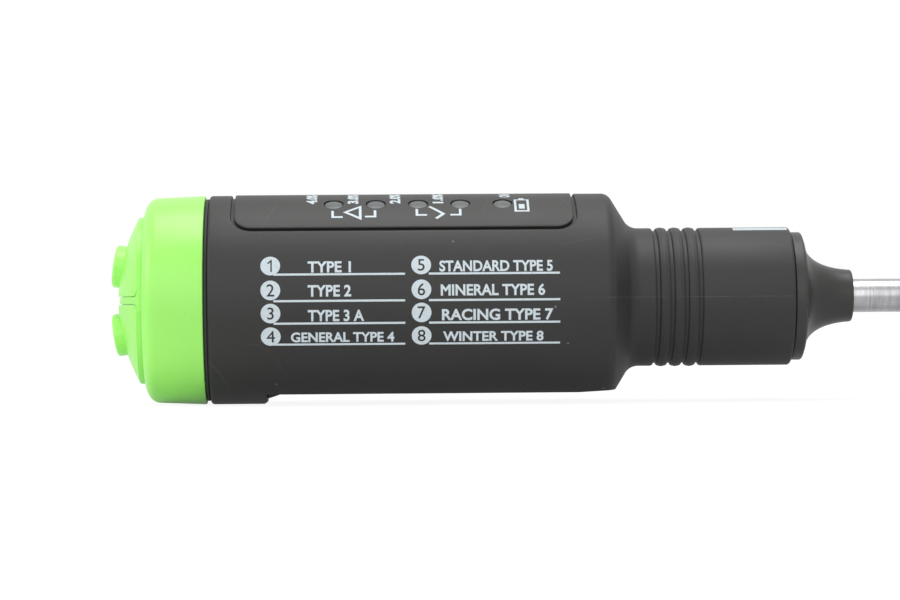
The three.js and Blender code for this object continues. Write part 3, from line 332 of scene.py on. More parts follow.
def wrapped(piece):
    """Rolls flat work round the barrel, so that a height s becomes a way s round from the camera's side."""
    step = wrap_radius * mm * wrap_step
    heights = [vertex.co.z for vertex in piece.data.vertices]
    low, high = min(heights), max(heights)
    edit(piece)
    for i in range(ceil(low / step + 0.01), floor(high / step - 0.01) + 1):
        bpy.ops.mesh.select_all(action="SELECT")
        bpy.ops.mesh.bisect(plane_co=(0, 0, i * step), plane_no=(0, 0, 1), threshold=1e-7)
    leave_edit()
    angle = (high - low) / (wrap_radius * mm)
    modify(piece, "SIMPLE_DEFORM", deform_method="BEND", deform_axis="X", angle=angle)
    set_down(piece, (0, -wrap_radius * mm, axis_z))


def flat_plate(rear, front, low, high, corner):
    """Adds a rounded rectangle to the flat work being edited, facing the camera. It stays selected."""
    bpy.ops.mesh.select_all(action="DESELECT")
    middle = ((along(rear) + along(front)) / 2, 0, (low + high) / 2 * mm)
    bpy.ops.mesh.primitive_plane_add(size=1, location=middle, rotation=(pi / 2, 0, 0))
    bpy.ops.transform.resize(value=((front - rear) * mm, 1, (high - low) * mm))
    bpy.ops.mesh.bevel(offset=corner * mm, segments=12, affect="VERTICES", offset_type="OFFSET")


def disc(x, s, radius, depth, steps):
    """A round plate in flat work, facing the camera."""
    bpy.ops.mesh.primitive_cylinder_add(vertices=steps, radius=radius * mm, depth=depth * mm)
    piece = bpy.context.object
    set_down(piece, (along(x), 0, s * mm), (pi / 2, 0, 0))
    return piece


def roll_edge(radius, steps, outwards):
    """Rounds the selected flat face's rim, down into the surface or up out of it."""
    turns = [radians(90 * i / steps) for i in range(steps + 1)]
    for a, b in zip(turns, turns[1:]):
        if outwards:
            inward, drop = cos(a) - cos(b), sin(b) - sin(a)
        else:
            inward, drop = sin(b) - sin(a), cos(b) - cos(a)
        bpy.ops.mesh.inset(thickness=inward * radius * mm, depth=drop * radius * mm)


barrel_radius = 19.97
barrel_rear, barrel_chamfer = 19, 0.6
spigot_rear, spigot_radius = 10.3, 18.25
bore_radius = 17.1
shoulder, shoulder_edge, shoulder_turn = 93.85, 2.2, 58.5
slope = radians(shoulder_turn)
neck_radius, neck_fillet, neck_bore, neck_length, neck_edge = 13.25, 3, 11.45, 29.15, 0.5
panel_rear, panel_front, panel_half = 23.95, 87.95, radians(47.8) * wrap_radius
panel_corner, panel_groove = 3.2, 0.65
top_of_round = wrap_radius * pi / 2
on_axis = (tool_start, 0, axis_z)

edge_end_x = shoulder + shoulder_edge * sin(slope)
edge_end_r = barrel_radius - shoulder_edge * (1 - cos(slope))
fillet_top_r = neck_radius + neck_fillet * (1 - cos(slope))
fillet_top_x = edge_end_x + (edge_end_r - fillet_top_r) / tan(slope)
neck_start = fillet_top_x + neck_fillet * sin(slope)
neck_end = neck_start + neck_length

# The barrel's skin is made flat, with the pocket sunk into it, and rolled up
bpy.ops.mesh.primitive_plane_add(size=1)
housing_shell = bpy.context.object
skin_x0, skin_x1 = along(barrel_rear + barrel_chamfer), along(shoulder)
skin_low, skin_high = -top_of_round * mm, 3 * top_of_round * mm
skin_middle = Vector(((skin_x0 + skin_x1) / 2, 0, (skin_low + skin_high) / 2))
set_down(housing_shell, skin_middle, (pi / 2, 0, 0), (skin_x1 - skin_x0, skin_high - skin_low, 1))
lip, support, pocket_depth = 0.22, 0.35, 0.57
reach = panel_groove + lip + support
edit(housing_shell)
flat_plate(
    panel_rear - reach,
    panel_front + reach,
    top_of_round - panel_half - reach,
    top_of_round + panel_half + reach,
    panel_corner + reach,
)
bpy.ops.mesh.inset(thickness=support * mm)
roll_edge(lip, 4, outwards=False)
bpy.ops.mesh.inset(thickness=0.02 * mm, depth=-(pocket_depth - lip) * mm)
bpy.ops.mesh.inset(thickness=0.3 * mm)
leave_edit()
edit(housing_shell, lambda face: (face.center - skin_middle).length < 0.1 * mm)
bpy.ops.mesh.delete(type="ONLY_FACE")
leave_edit()
edit(housing_shell, mode="EDGE")
bpy.ops.mesh.select_non_manifold(
    extend=False, use_multi_face=False, use_non_contiguous=False, use_verts=False
)
bpy.ops.mesh.fill()
bpy.ops.mesh.select_all(action="SELECT")
bpy.ops.transform.translate(value=(0, (wrap_radius - barrel_radius) * mm, 0))
leave_edit()
wrapped(housing_shell)

# Its ends, the shoulder, the neck and the inside are turned. Each rib's crown is a low arch between grooves
spigot_edge, bore_front, neck_bore_rear = 0.3, shoulder - 1.5, shoulder + 2
ends = arc(barrel_rear + barrel_chamfer, barrel_radius - barrel_chamfer, barrel_chamfer, 90, 180, 5)
ends += [(barrel_rear, spigot_radius), (spigot_rear + spigot_edge, spigot_radius)]
ends += [(spigot_rear, spigot_radius - spigot_edge), (spigot_rear, bore_radius), (bore_front, bore_radius)]
ends += [(neck_bore_rear, neck_bore), (neck_end, neck_bore)]
ends += arc(neck_end - neck_edge, neck_radius - neck_edge, neck_edge, 0, 90, 6)
groove_start, groove_pitch, groove_half, groove_foot = neck_start + 3.1, 2.7, 0.36, 0.06
groove_count, groove_floor = 4, neck_radius - 0.55
rib_round, rib_stretch, rib_crown = 0.32, 1.5, 0.1
rim_x = rib_round * rib_stretch
rib_reach = groove_pitch / 2 - groove_half - rim_x
grooves = []
for i in range(groove_count):
    middle = groove_start + groove_pitch * i
    rear_wall, front_wall = middle - groove_half, middle + groove_half
    grooves += arc(rear_wall - rim_x, neck_radius - rib_round, rib_round, 90, 0, 6, rib_stretch)
    grooves += arc(rear_wall + groove_foot, groove_floor + groove_foot, groove_foot, 180, 270, 3)
    grooves += arc(front_wall - groove_foot, groove_floor + groove_foot, groove_foot, 270, 360, 3)
    grooves += arc(front_wall + rim_x, neck_radius - rib_round, rib_round, 180, 90, 6, rib_stretch)
    if i + 1 < groove_count:
        rib, shares = middle + groove_pitch / 2, [k / 4 for k in range(-3, 4)]
        grooves += [(rib + rib_reach * t, neck_radius + rib_crown * (1 - t ** 2)) for t in shares]
ends += grooves[::-1]
ends += arc(neck_start, neck_radius + neck_fillet, neck_fillet, 270, 270 - shoulder_turn, 10)
ends += arc(shoulder, barrel_radius - shoulder_edge, shoulder_edge, 90 - shoulder_turn, 90, 10)
housing_shell = joined("housing_shell", [housing_shell, turned("housing_ends", ends, 180, on_axis)])
seal_mesh(housing_shell, 5e-6)

# Belly: a floor inside, the flat cut off below, the battery opening, the rebate and the hinge sockets
belly_z, belly_inner, belly_rear, belly_front, neck_rise = -18, -15.4, 29.8, shoulder + 2.9, 0.45
floor_rear, floor_front, floor_half, floor_low = 27.2, 93, 8.4, -17.5
step_foot, step_top, step_low, cut_half = belly_rear - 0.7, -19.5, -20, 21
door_front, hinge_x, hinge_z, socket_reach, socket_radius = 89.05, 88.05, -17, 8.85, 0.75
opening_rear, opening_front, opening_half, rebate_half = 30.65, 86.85, 7.35, 8.1
rebate_front, rebate_top, below = door_front + 0.2, belly_z + 1.7, -25


def tool_point(x, y, z):
    """A point x in mm in front of the pads and y, z in mm off the tool's axis."""
    return Vector((along(x), y * mm, axis_z + z * mm))


floor_corner = tool_point(floor_front, floor_half, belly_inner)
carve(housing_shell, block(tool_point(floor_rear, -floor_half, floor_low), floor_corner), "UNION")
belly_line = [
    (step_foot, below),
    (step_foot, step_low),
    (belly_rear, step_top),
    (belly_rear, belly_z),
    (door_front, belly_z),
    (belly_front, belly_z + neck_rise),
    (neck_end, belly_z + neck_rise),
    (neck_end, below),
]
belly_line = [tool_point(x, -cut_half, z) for x, z in belly_line]
carve(housing_shell, prism("belly", belly_line, (0, 2 * cut_half * mm, 0)))
for rear, front, half, top in (
    (belly_rear, rebate_front, rebate_half, rebate_top),
    (opening_rear, opening_front + 1, opening_half, belly_inner + 1),
    (opening_front, rebate_front, rebate_half, belly_inner + 1),
):
    carve(housing_shell, block(tool_point(rear, -half, below), tool_point(front, half, top)))


def hinge_pins(reach, radius, steps):
    """A rod on the door's hinge line."""
    profile = [(-reach, 0), (-reach, radius), (reach, radius), (reach, 0)]
    return turned("hinge_pins", profile, steps, tool_point(hinge_x, 0, hinge_z), (0, 0, pi / 2))


carve(housing_shell, hinge_pins(socket_reach, socket_radius, 24))
smooth(housing_shell, 24)


def fresh_material(name, colour, roughness, specular=0.5):
    """A material, its shader and its Object coordinates. The colour shows where nothing replaces it."""
    material = bpy.data.materials.new(name)
    material.use_nodes = True
    tree = material.node_tree
    shader = tree.nodes["Principled BSDF"]
    feed(shader, Base_Color=(*colour, 1), Roughness=roughness, Specular_IOR_Level=specular)
    place = put(tree, "TexCoord").outputs["Object"]
    return material, shader, place


def noise(place, scale, detail, roughness=0.5):
    return put(place, "TexNoise", Vector=place, Scale=scale, Detail=detail, Roughness=roughness).outputs


def bumped(shader, height, strength, depth):
    """Raises a shader's surface by a height, over a depth in mm, on top of the normal that it has."""
    bump = put(shader, "Bump", Strength=strength, Distance=depth * mm, Height=height)
    for link in shader.inputs["Normal"].links:
        feed(bump, Normal=link.from_socket)
    feed(shader, Normal=bump.outputs[0])


def mixed(share, a, b, blend="MIX"):
    """A colour between two, by a share or mask."""
    near = share if isinstance(share, bpy.types.NodeSocket) else a
    made = put(near, "Mix", {"data_type": "RGBA", "blend_type": blend})
    for index, value in ((0, share), (6, a), (7, b)):
        connect(made.inputs[index], (*value, 1) if isinstance(value, tuple) else value)
    return made.outputs[2]


def new_group(name, inputs, outputs):
    """An empty group, what it is given, and the node that takes its results."""
    group = bpy.data.node_groups.new(name, "ShaderNodeTree")
    for label, kind, value in inputs:
        socket = group.interface.new_socket(name=label, in_out="INPUT", socket_type="NodeSocket" + kind)
        if value is not None:
            socket.default_value = value
    for label, kind in outputs:
        group.interface.new_socket(name=label, in_out="OUTPUT", socket_type="NodeSocket" + kind)
    return group, group.nodes.new("NodeGroupInput").outputs, group.nodes.new("NodeGroupOutput")


# Moulded grain: fine spark-eroded texture with slow mottling, as a bump and as a shade from 0 to 1
tree, given, result = new_group(
    "moulded grain",
    [("Place", "Vector", None), ("Grain Size", "Float", 0.2), ("Depth", "Float", 0.01)],
    [("Normal", "Vector"), ("Grain", "Float"), ("Mottle", "Float")],
)
per_metre = math("DIVIDE", 1000, given["Grain Size"])
fine = noise(given["Place"], per_metre, 2, 0.6)[0]
slow = noise(given["Place"], 55, 3, 0.55)[0]
deep = times(given["Depth"], mm)
bump = put(tree, "Bump", Strength=1, Distance=deep, Height=fine)
feed(result, Normal=bump.outputs[0], Grain=fine, Mottle=spread(slow, 0.3, 0.7))
moulded_grain = tree

# Handling marks: a few hairline scratches and dust specks
tree, given, result = new_group(
    "handling marks",
    [("Place", "Vector", None), ("Scratches", "Float", 1), ("Specks", "Float", 1)],
    [("Scratch", "Float"), ("Speck", "Float")],
)
bent = noise(given["Place"], 22, 1)["Color"]
add_share = {"operation": "MULTIPLY_ADD"}
sway = put(tree, "VectorMath", add_share, a=bent, b=(0.03, 0.03, 0.03), c=given["Place"]).outputs[0]
squeezed = put(tree, "Mapping", Vector=sway, Rotation=(0.3, 0.9, 0.4), Scale=(1, 0.25, 1)).outputs[0]
cells = put(tree, "TexVoronoi", {"feature": "DISTANCE_TO_EDGE"}, Vector=squeezed, Scale=85)
hair = spread(cells.outputs["Distance"], 0, 0.006, 1, 0)
rare = spread(noise(given["Place"], 60, 2)[0], 0.6, 0.72)
dots = put(tree, "TexVoronoi", Vector=given["Place"], Scale=420, Randomness=1)
tone = put(tree, "SeparateColor", a=dots.outputs["Color"])
chosen = spread(tone.outputs[0], 0.955, 0.96)
spot = spread(dots.outputs["Distance"], 0.05, 0.14, 1, 0)
scratch = times(hair, rare, given["Scratches"])
speck = times(spot, chosen, given["Specks"])
feed(result, Scratch=scratch, Speck=speck)
handling_marks = tree


def in_group(group, place, **inputs):
    return put(place, "Group", {"node_tree": group}, Place=place, **inputs).outputs


def grained(name, colour, roughness, grain_size, depth, specular=0.5):
    """A fresh material with moulded grain in its normal, and the grain's outputs."""
    material, shader, place = fresh_material(name, colour, roughness, specular)
    grain = in_group(moulded_grain, place, Grain_Size=grain_size, Depth=depth)
    feed(shader, Normal=grain["Normal"])
    return material, shader, place, grain


def dark_plastic(name, tones, roughness, grain_size, scratches, specks):
    """Grained dark plastic: mottled between two tones, with its share of scratches and dust."""
    material, shader, place, grain = grained(name, tones[0], roughness[0], grain_size, 0.012, 0.4)
    marks = in_group(handling_marks, place, Scratches=scratches, Specks=specks)
    tone = mixed(grain["Mottle"], *tones)
    sparkle = mixed(1, tone, (1.2, 1.2, 1.2), "MULTIPLY")
    tone = mixed(spread(grain["Grain"], 0.3, 0.7), tone, sparkle)
    tone = mixed(marks["Scratch"], tone, (0.13, 0.13, 0.125))
    tone = mixed(marks["Speck"], tone, (0.3, 0.3, 0.29))
    feed(shader, Base_Color=tone, Roughness=spread(grain["Mottle"], 0, 1, *roughness))
    return material, shader, place, tone


soft_touch, shader, place, tone = dark_plastic(
    "soft_touch_housing", ((0.019, 0.018, 0.0175), (0.025, 0.0238, 0.023)), (0.5, 0.58), 0.22, 0.5, 0.5
)
# A faint parting line runs along the shoulder and neck, where the two halves of the mould met
spot = put(place, "SeparateXYZ", Vector=place)
height = math("ABSOLUTE", math("SUBTRACT", spot.outputs["Z"], axis_z))
on_line = spread(height, 0.03 * mm, 0.1 * mm, 1, 0)
on_neck = spread(spot.outputs["X"], along(shoulder - 6), along(shoulder + 2))
broken = spread(noise(place, 260, 2)[0], 0.4, 0.62)
seen = times(on_line, on_neck, broken, 0.5)
feed(shader, Base_Color=mixed(seen, tone, (0.12, 0.12, 0.115)))


def fit(piece, material, body, slot, *nodes):
    """Paints a piece, and ties it to its body and the CAD nodes that it stands for. Its slot is not used."""
    piece.data.materials.clear()
    piece.data.materials.append(material)
    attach(piece, body)
    if nodes:
        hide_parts(*nodes)


fit(housing_shell, soft_touch, "body", "housing", "housing")


# Display panel
# A thin curved plate of satin plastic, pressed into the pocket, with five round holes for the
# indicator lenses and its edges rounded over.
panel_radius = 20.07
window_xs = [58.7 + 8 * (i - 2) for i in range(5)]
window_tilt = 26
window_s = top_of_round - wrap_radius * radians(window_tilt)
window_hole = 1.9
panel_edge, panel_back, panel_proud = 0.18, 0.44, 0.07

bpy.ops.mesh.primitive_plane_add(size=mm)
panel_skin = added("panel_skin")
edit(panel_skin)
bpy.ops.mesh.delete(type="VERT")
flat_plate(panel_rear, panel_front, top_of_round - panel_half, top_of_round + panel_half, panel_corner)
bpy.ops.transform.translate(value=(0, panel_back * mm, 0))
wall = (0, -(panel_back + panel_proud - panel_edge) * mm, 0)
bpy.ops.mesh.extrude_region_move(TRANSFORM_OT_translate={"value": wall})
roll_edge(panel_edge, 4, outwards=True)
bpy.ops.mesh.inset(thickness=0.5 * mm)
leave_edit()
smooth(panel_skin, 30)
carve(panel_skin, joined("holes", [disc(x, window_s, window_hole, 4, 64) for x in window_xs]))
wrapped(panel_skin)
seal_mesh(panel_skin)
smooth(panel_skin, 24)

panel_film = dark_plastic(
    "panel_satin", ((0.02, 0.019, 0.018), (0.026, 0.0247, 0.0235)), (0.48, 0.56), 0.16, 0.6, 0.4
)[0]
fit(panel_skin, panel_film, "body", "panel", "display_panel")


# Print
# Pad-printed legends in pale ink, a film of a few hundredths of a millimetre: the numbered list of fluid
# types on the barrel, the figures and signs beside the lenses, and a plain bar on top of the neck.
ink = 0.02


def bar(x0, x1, s0, s1):
    """A stripe of ink, on flat work that faces the camera."""
    return block((along(x0), -ink * mm, s0 * mm), (along(x1), ink * mm, s1 * mm))


def stroke(points, width):
    """A line of a width through points of [x, s], with mitred corners. It closes where its ends meet."""
    centre = [Vector(point) for point in points]
    closed = centre[0] == centre[-1]
    edges = []
    for i, here in enumerate(centre):
        before = centre[i - 1] if i else centre[-2]
        after = centre[i + 1] if i + 1 < len(centre) else centre[1]
        into, out = (here - before).normalized(), (after - here).normalized()
        if not closed and i == 0:
            into = out
        if not closed and i + 1 == len(centre):
            out = into
        side = Vector((-(into + out).y, (into + out).x)).normalized()
        grow = width / 2 / side.dot(Vector((-into.y, into.x)))
        edges.append((here + side * grow, here - side * grow))
    parts = []
    for (left, right), (next_left, next_right) in zip(edges, edges[1:]):
        around = (left, next_left, next_right, right)
        corners = [Vector((along(p.x), -ink * mm, p.y * mm)) for p in around]
        parts.append(prism("stroke", corners, (0, 2 * ink * mm, 0)))
    return joined("stroke", parts)


def word(text, x0, x1, s, height, weight=0.03, upwards=False):
    """Bold letters from x0 to x1 on the baseline s, or upwards, from x0 to x1 round the barrel, feet at s.

    Without an x1 they keep their proportions and are centred on x0 and s.
    """
    bpy.ops.object.text_add()
    letters = bpy.context.object.data
    letters.body = text
    letters.resolution_u = 4
    letters.bevel_depth = weight
    letters.bevel_resolution = 0
    bpy.ops.object.convert(target="MESH")
    piece = bpy.context.object
    spans = [[vertex.co[k] for vertex in piece.data.vertices] for k in range(3)]
    low, high = Vector([min(span) for span in spans]), Vector([max(span) for span in spans])
    tall = height * mm / (high.y - low.y)
    wide = (x1 - x0) * mm / (high.x - low.x) if x1 else tall
    start = Vector((low.x, low.y, 0)) if x1 else (low + high) / 2
    set_down(piece, -start)
    set_down(piece, scale=(wide, tall, 2 * ink * mm / (high.z - low.z)))
    if upwards:
        set_down(piece, (along(s), 0, x0 * mm), (pi / 2, -pi / 2, 0))
    else:
        set_down(piece, (along(x0), 0, s * mm), (pi / 2, 0, 0))
    return piece


def printed(name, shapes, radius, lift=ink):
    """Joins shapes of ink and rolls them onto a surface of a given radius, proud of it by a lift."""
    piece = joined(name, shapes)
    set_down(piece, (0, -(radius - wrap_radius + lift - ink) * mm, 0))
    wrapped(piece)
    smooth(piece, 20)
    return piece


# Each row's disc, underline and letters' feet as s, and its letters' height
rows = ((6.42, 4.71, 5.06, 2.2), (1.74, -0.29, 0.5, 2.2), (-2.6, -4.53, -4.16, 2.2), (-7.06, -8.68, -8.25, 2))
# Each column's disc and its underline's ends, as x
columns = ((30.85, 31.4, 55.95), (59, 60.4, 84.9))
disc_radius, digit_height, underline = 1.84, 2.35, 0.4
legends = (
    ("TYPE 1", 37.8, 45.9),
    ("TYPE 2", 37.8, 45.9),
    ("TYPE 3 A", 37.8, 48.3),
    ("GENERAL TYPE 4", 34.6, 53.9),
    ("STANDARD TYPE 5", 62.4, 83.6),
    ("MINERAL TYPE 6", 62.6, 82.1),
    ("RACING TYPE 7", 62.8, 83.6),
    ("WINTER TYPE 8", 63, 81.8),
)
shapes, digits = [], []
for i, (text, x0, x1) in enumerate(legends):
    disc_x, line_x0, line_x1 = columns[i // 4]
    disc_s, line_s, feet, height = rows[i % 4]
    shapes.append(disc(disc_x, disc_s, disc_radius, 2 * ink, 56))
    shapes.append(bar(line_x0, line_x1, line_s - underline / 2, line_s + underline / 2))
    shapes.append(word(text, x0, x1, feet, height))
    if i:
        digits.append(word(str(i + 1), disc_x, None, disc_s, digit_height, 0.012))
    else:
        flag, stem = disc_x - 0.5, disc_x + 0.15
        figure_one = [(flag, disc_s + 0.45), (stem, disc_s + 1), (stem, disc_s - 1.17)]
        digits.append(stroke(figure_one, 0.28))
list_print = printed("list_print", shapes, barrel_radius)
list_digits = printed("list_digits", digits, barrel_radius, 0.03)

shapes = []
legend_height, legend_weight, legend_low, legend_high = 2.1, 0.05, 22.4, 28.9
for text, x in (("4.0%", 39.6), ("3.0%", 47.42), ("2.0%", 55.38), ("1.0%", 63.53)):
    shapes.append(word(text, legend_low, legend_high, x, legend_height, legend_weight, upwards=True))
shapes.append(word("ON", 25.5, 28.5, 76.3, legend_height, legend_weight, upwards=True))
bracket_length, bracket_width = 1.9, 0.48
for x, s, turn in ((42.5, 17.6, 1), (50.5, 17.7, -1), (58.4, 18.1, 1), (66.6, 18.1, -1)):
    shapes.append(stroke([(x, s + 2), (x, s), (x + turn * bracket_length, s)], bracket_width))
triangle = [(44.9, 19.1), (47.7, 17.15), (47.7, 21.05), (44.9, 19.1)]
tick = [(62, 17), (63.4, 18.4), (60.8, 21)]
battery = [(77.1, 19.2), (79.5, 19.2), (79.5, 23.8), (77.1, 23.8), (77.1, 19.2)]
for sign, width in ((triangle, 0.5), (tick, 0.55), (battery, 0.45)):
    shapes.append(stroke(sign, width))
shapes += [bar(77.8, 78.8, 23.9, 24.7), bar(77.75, 78.85, 20, 21.8)]
panel_print = printed("panel_print", shapes, panel_radius)

neck_bar_ends = (119.1, 129.5)
neck_bar_sides = [top_of_round - wrap_radius * radians(off_top) for off_top in (17.3, 8.6)]
neck_bar = printed("neck_bar", [bar(*neck_bar_ends, *neck_bar_sides)], wrap_radius)
set_down(neck_bar, (0, 0, -axis_z))
neck_bar_scale = (neck_radius + ink) / (wrap_radius + ink)
set_down(neck_bar, (0, 0, axis_z), scale=(1, neck_bar_scale, neck_bar_scale))

print_ink, shader, place = fresh_material("pale_print_ink", (0.55, 0.63, 0.68), 0.42, 0.4)
worn = noise(place, 1800, 3, 0.7)[0]
feed(shader, Base_Color=mixed(spread(worn, 0.28, 0.5), (0.55, 0.62, 0.66), (0.65, 0.73, 0.77)))
bumped(shader, worn, 0.4, 0.004)
for piece in (list_print, panel_print, neck_bar):
    fit(piece, print_ink, "body", "panel")
fit(list_digits, soft_touch, "body", "housing")


# Indicator lenses
# Five crowned round light guides in smoky translucent plastic, held behind the panel's holes.
lens_radius, lens_back, lens_rim, lens_edge, lens_crown = 1.73, 11.84, 19.88, 0.14, 0.16
crown_radius = lens_radius - lens_edge
profile = [(lens_back, 0), (lens_back, lens_radius)]
profile += arc(lens_rim - lens_edge, crown_radius, lens_edge, 90, 0, 4)
profile += [(lens_rim + lens_crown * (1 - (k / 6) ** 2), crown_radius * k / 6) for k in range(5, -1, -1)]
lens_smoke, shader, place = fresh_material("smoky_lens", (0.14, 0.15, 0.15), 0.28, 0.5)
cloud = noise(place, 900, 2)[0]
tone = mixed(spread(cloud, 0.3, 0.7), (0.115, 0.125, 0.125), (0.155, 0.167, 0.17))
feed(shader, Base_Color=tone, Transmission_Weight=0.25, IOR=1.49)
bumped(shader, cloud, 0.3, 0.01)
for i, x in enumerate(window_xs):
    lens = turned(f"lens_{i + 1}", profile, 48, rotation=(0, -pi / 2, 0))
    set_down(lens, (along(x), 0, axis_z), (radians(window_tilt), 0, 0))
    smooth(lens, 35)
    fit(lens, lens_smoke, "body", "lens", f"led_window_{i + 1}")


# End cap
# A glossy green ring pressed over the spigot, with a rolled front lip and a thin bar across its
# mouth that parts the two buttons. Injection moulded in one piece with a key inside.
cap_front, cap_rear, cap_mouth = 6.55, 18.2, 16.15
cap_rear_radius, cap_bore = 19.95, 18.35
cap_rim, cap_lip, lip_radius, lip_depth = 0.3, 0.25, 16.6, 1.75
crown_start = (cap_front, lip_radius)
crown_pull = (cap_front + 0.66, cap_rear_radius - 0.45)
crown_end = (cap_front + 2.65, cap_rear_radius - 0.35)
profile = arc(cap_front + cap_lip, cap_mouth + cap_lip, cap_lip, 270, 180, 4)
profile += bent_points(crown_start, crown_pull, crown_end, 16)
profile += arc(cap_rear - cap_rim, cap_rear_radius - cap_rim, cap_rim, 90, 0, 5)
profile += [(cap_rear, cap_bore), (cap_front + lip_depth, cap_bore), (cap_front + lip_depth, cap_mouth)]
profile.append(profile[0])
cap_shell = turned("cap_shell", profile, 144)

dome_radius, dome_apex = 32.5, 1.35
button_radius, split_flat, button_corner = 15.95, 0.8, 1.2
corner_z = split_flat + button_corner
corner_y = sqrt((button_radius - button_corner) ** 2 - corner_z ** 2)
lean = degrees(atan2(corner_z, corner_y))
bar_overlap = 0.4


def bar_layer(half_width, sink, thickness):
    """The bar flares round the buttons' corners into the ring, and its face follows their domes."""
    flare = corner_z - half_width
    quarter = arc(corner_y, corner_z, flare, -90, lean, 8)
    reach = (button_radius + bar_overlap) / hypot(*quarter[-1])
    quarter.append((quarter[-1][0] * reach, quarter[-1][1] * reach))
    upper = quarter[::-1] + [(-y, z) for y, z in quarter]
    outline = [Vector((0, y * mm, z * mm)) for y, z in upper + [(-y, -z) for y, z in upper]]
    layer = prism("cap_bar", outline, (cap_rear * mm, 0, 0))
    face = dome_apex + sink
    turns = [radians(30) * k / 24 for k in range(25)]
    bowl = [(face + dome_radius * (1 - cos(t)), dome_radius * sin(t)) for t in turns]
    bowl += [(x + thickness, r) for x, r in bowl[::-1]]
    carve(layer, turned("bowl", bowl, 96), "INTERSECT")
    return layer


cap_bar = bar_layer(half_width=0.65, sink=0.25, thickness=1.8)
modify(cap_bar, "BEVEL", width=0.14 * mm, segments=2, angle_limit=radians(55))
carve(cap_bar, bar_layer(half_width=0.775, sink=0.7, thickness=1.6), "UNION")
carve(cap_shell, cap_bar, "UNION")
set_down(cap_shell, on_axis)
smooth(cap_shell, 32)

cap_green, shader, place, grain = grained("green_cap_plastic", (0.36, 0.92, 0.15), 0.34, 0.5, 0.006)
marks = in_group(handling_marks, place, Scratches=0.25, Specks=0.2)
tone = mixed(grain["Mottle"], (0.365, 0.925, 0.145), (0.39, 0.95, 0.165))
tone = mixed(marks["Scratch"], tone, (0.5, 0.86, 0.33))
tone = mixed(marks["Speck"], tone, (0.2, 0.4, 0.1))
feed(shader, Base_Color=tone, Roughness=spread(grain["Mottle"], 0, 1, 0.3, 0.38))
fit(cap_shell, cap_green, "body", "cap", "end_cap")


# Press buttons
# Two half domes that fill the cap's mouth, each with a raised oval pad that the thumb finds. They
# are one moulding, the lower one turned over, and slide in against the switches.
button_back = 9.2
half_round = arc(corner_y, corner_z, button_corner, -90, lean, 8)
half_round += arc(0, 0, button_radius, lean, 180 - lean, 72)[1:-1]
half_round += arc(-corner_y, corner_z, button_corner, 180 - lean, 270, 8)


def faces_rear(face):
    """Picks a key's or pad's front, which is turned to the tool's rear."""
    return face.normal.x < -0.5


half_outline = [Vector((0, y * mm, z * mm)) for y, z in half_round]
power_key = prism("power_key", half_outline, (button_back * mm, 0, 0))
edit(power_key, faces_rear)
bpy.ops.mesh.inset(thickness=1.1 * mm)
step = 1.25 * mm
cuts = [((0, k * step, 0), (0, 1, 0)) for k in range(-12, 13)]
cuts += [((0, 0, k * step), (0, 0, 1)) for k in range(1, 13)]
for spot, across in cuts:
    bpy.ops.mesh.bisect(plane_co=spot, plane_no=across, threshold=1e-7)
    leave_edit()
    edit(power_key, faces_rear)
leave_edit()
# Its front is pressed onto the sphere that its dome is part of
bpy.ops.mesh.primitive_uv_sphere_add(segments=256, ring_count=192, radius=dome_radius * mm)
sphere = bpy.context.object
set_down(sphere, ((dome_apex + dome_radius) * mm, 0, 0), (0, pi / 2, 0))
front = [vertex.index for vertex in power_key.data.vertices if vertex.co.x < 0.5 * mm]
power_key.vertex_groups.new(name="front").add(front, 1, "REPLACE")
along_x = {"wrap_method": "PROJECT", "use_project_x": True}
modify(power_key, "SHRINKWRAP", target=sphere, vertex_group="front", **along_x)
power_key.vertex_groups.clear()
clear_away(sphere)
modify(power_key, "BEVEL", width=0.32 * mm, segments=5, angle_limit=radians(45))
smooth(power_key, 40)

pad_half_width, pad_half_height, pad_centre, pad_depth, pad_slant = 6, 4.05, 6.6, 6, radians(8.4)
pad_apex, pad_round = 0.54, 0.5
turns = [2 * pi * k / 72 for k in range(72)]
oval = [Vector((pad_depth * mm, pad_half_width * cos(t) * mm, pad_half_height * sin(t) * mm)) for t in turns]
pad = prism("pad", oval, (-pad_depth * mm, 0, 0))
edit(pad, faces_rear)
roll_edge(pad_round, 5, outwards=True)
bpy.ops.mesh.inset(thickness=1.2 * mm)
leave_edit()
set_down(pad, ((pad_apex + pad_half_height * sin(pad_slant)) * mm, 0, pad_centre * mm), (0, pad_slant, 0))
carve(power_key, pad, "UNION")
set_down(power_key, on_axis)
smooth(power_key, 34)
bpy.ops.object.duplicate()
select_key = added("select_key")
set_down(select_key, (0, 0, 2 * axis_z), (pi, 0, 0))
fit(power_key, cap_green, "power_button", "cap", "power_button")
fit(select_key, cap_green, "select_button", "cap", "select_button")


# Cap seal
# A rubber ring between the green cap and the barrel, set a little back in the reveal, rounded outside.
seal_radius, seal_inner, seal_rear, seal_front, seal_round = 19.35, 18.3, 18.3, 18.94, 0.3
seal_shoulder = seal_radius - seal_round
profile = [(seal_rear, seal_inner), (seal_rear, seal_shoulder)]
profile += arc((seal_rear + seal_front) / 2, seal_shoulder, seal_round, 165, 15, 8, 1.2)
profile += [(seal_front, seal_shoulder), (seal_front, seal_inner), (seal_rear, seal_inner)]
seal_ring = turned("seal_ring", profile, 144, on_axis)
smooth(seal_ring, 40)
rubber, shader, place, grain = grained("seal_rubber", (0.03, 0.03, 0.029), 0.62, 0.12, 0.01, 0.35)
feed(shader, Base_Color=mixed(grain["Mottle"], (0.034, 0.035, 0.036), (0.044, 0.045, 0.046)))
fit(seal_ring, rubber, "body", "seal", "cap_seal")


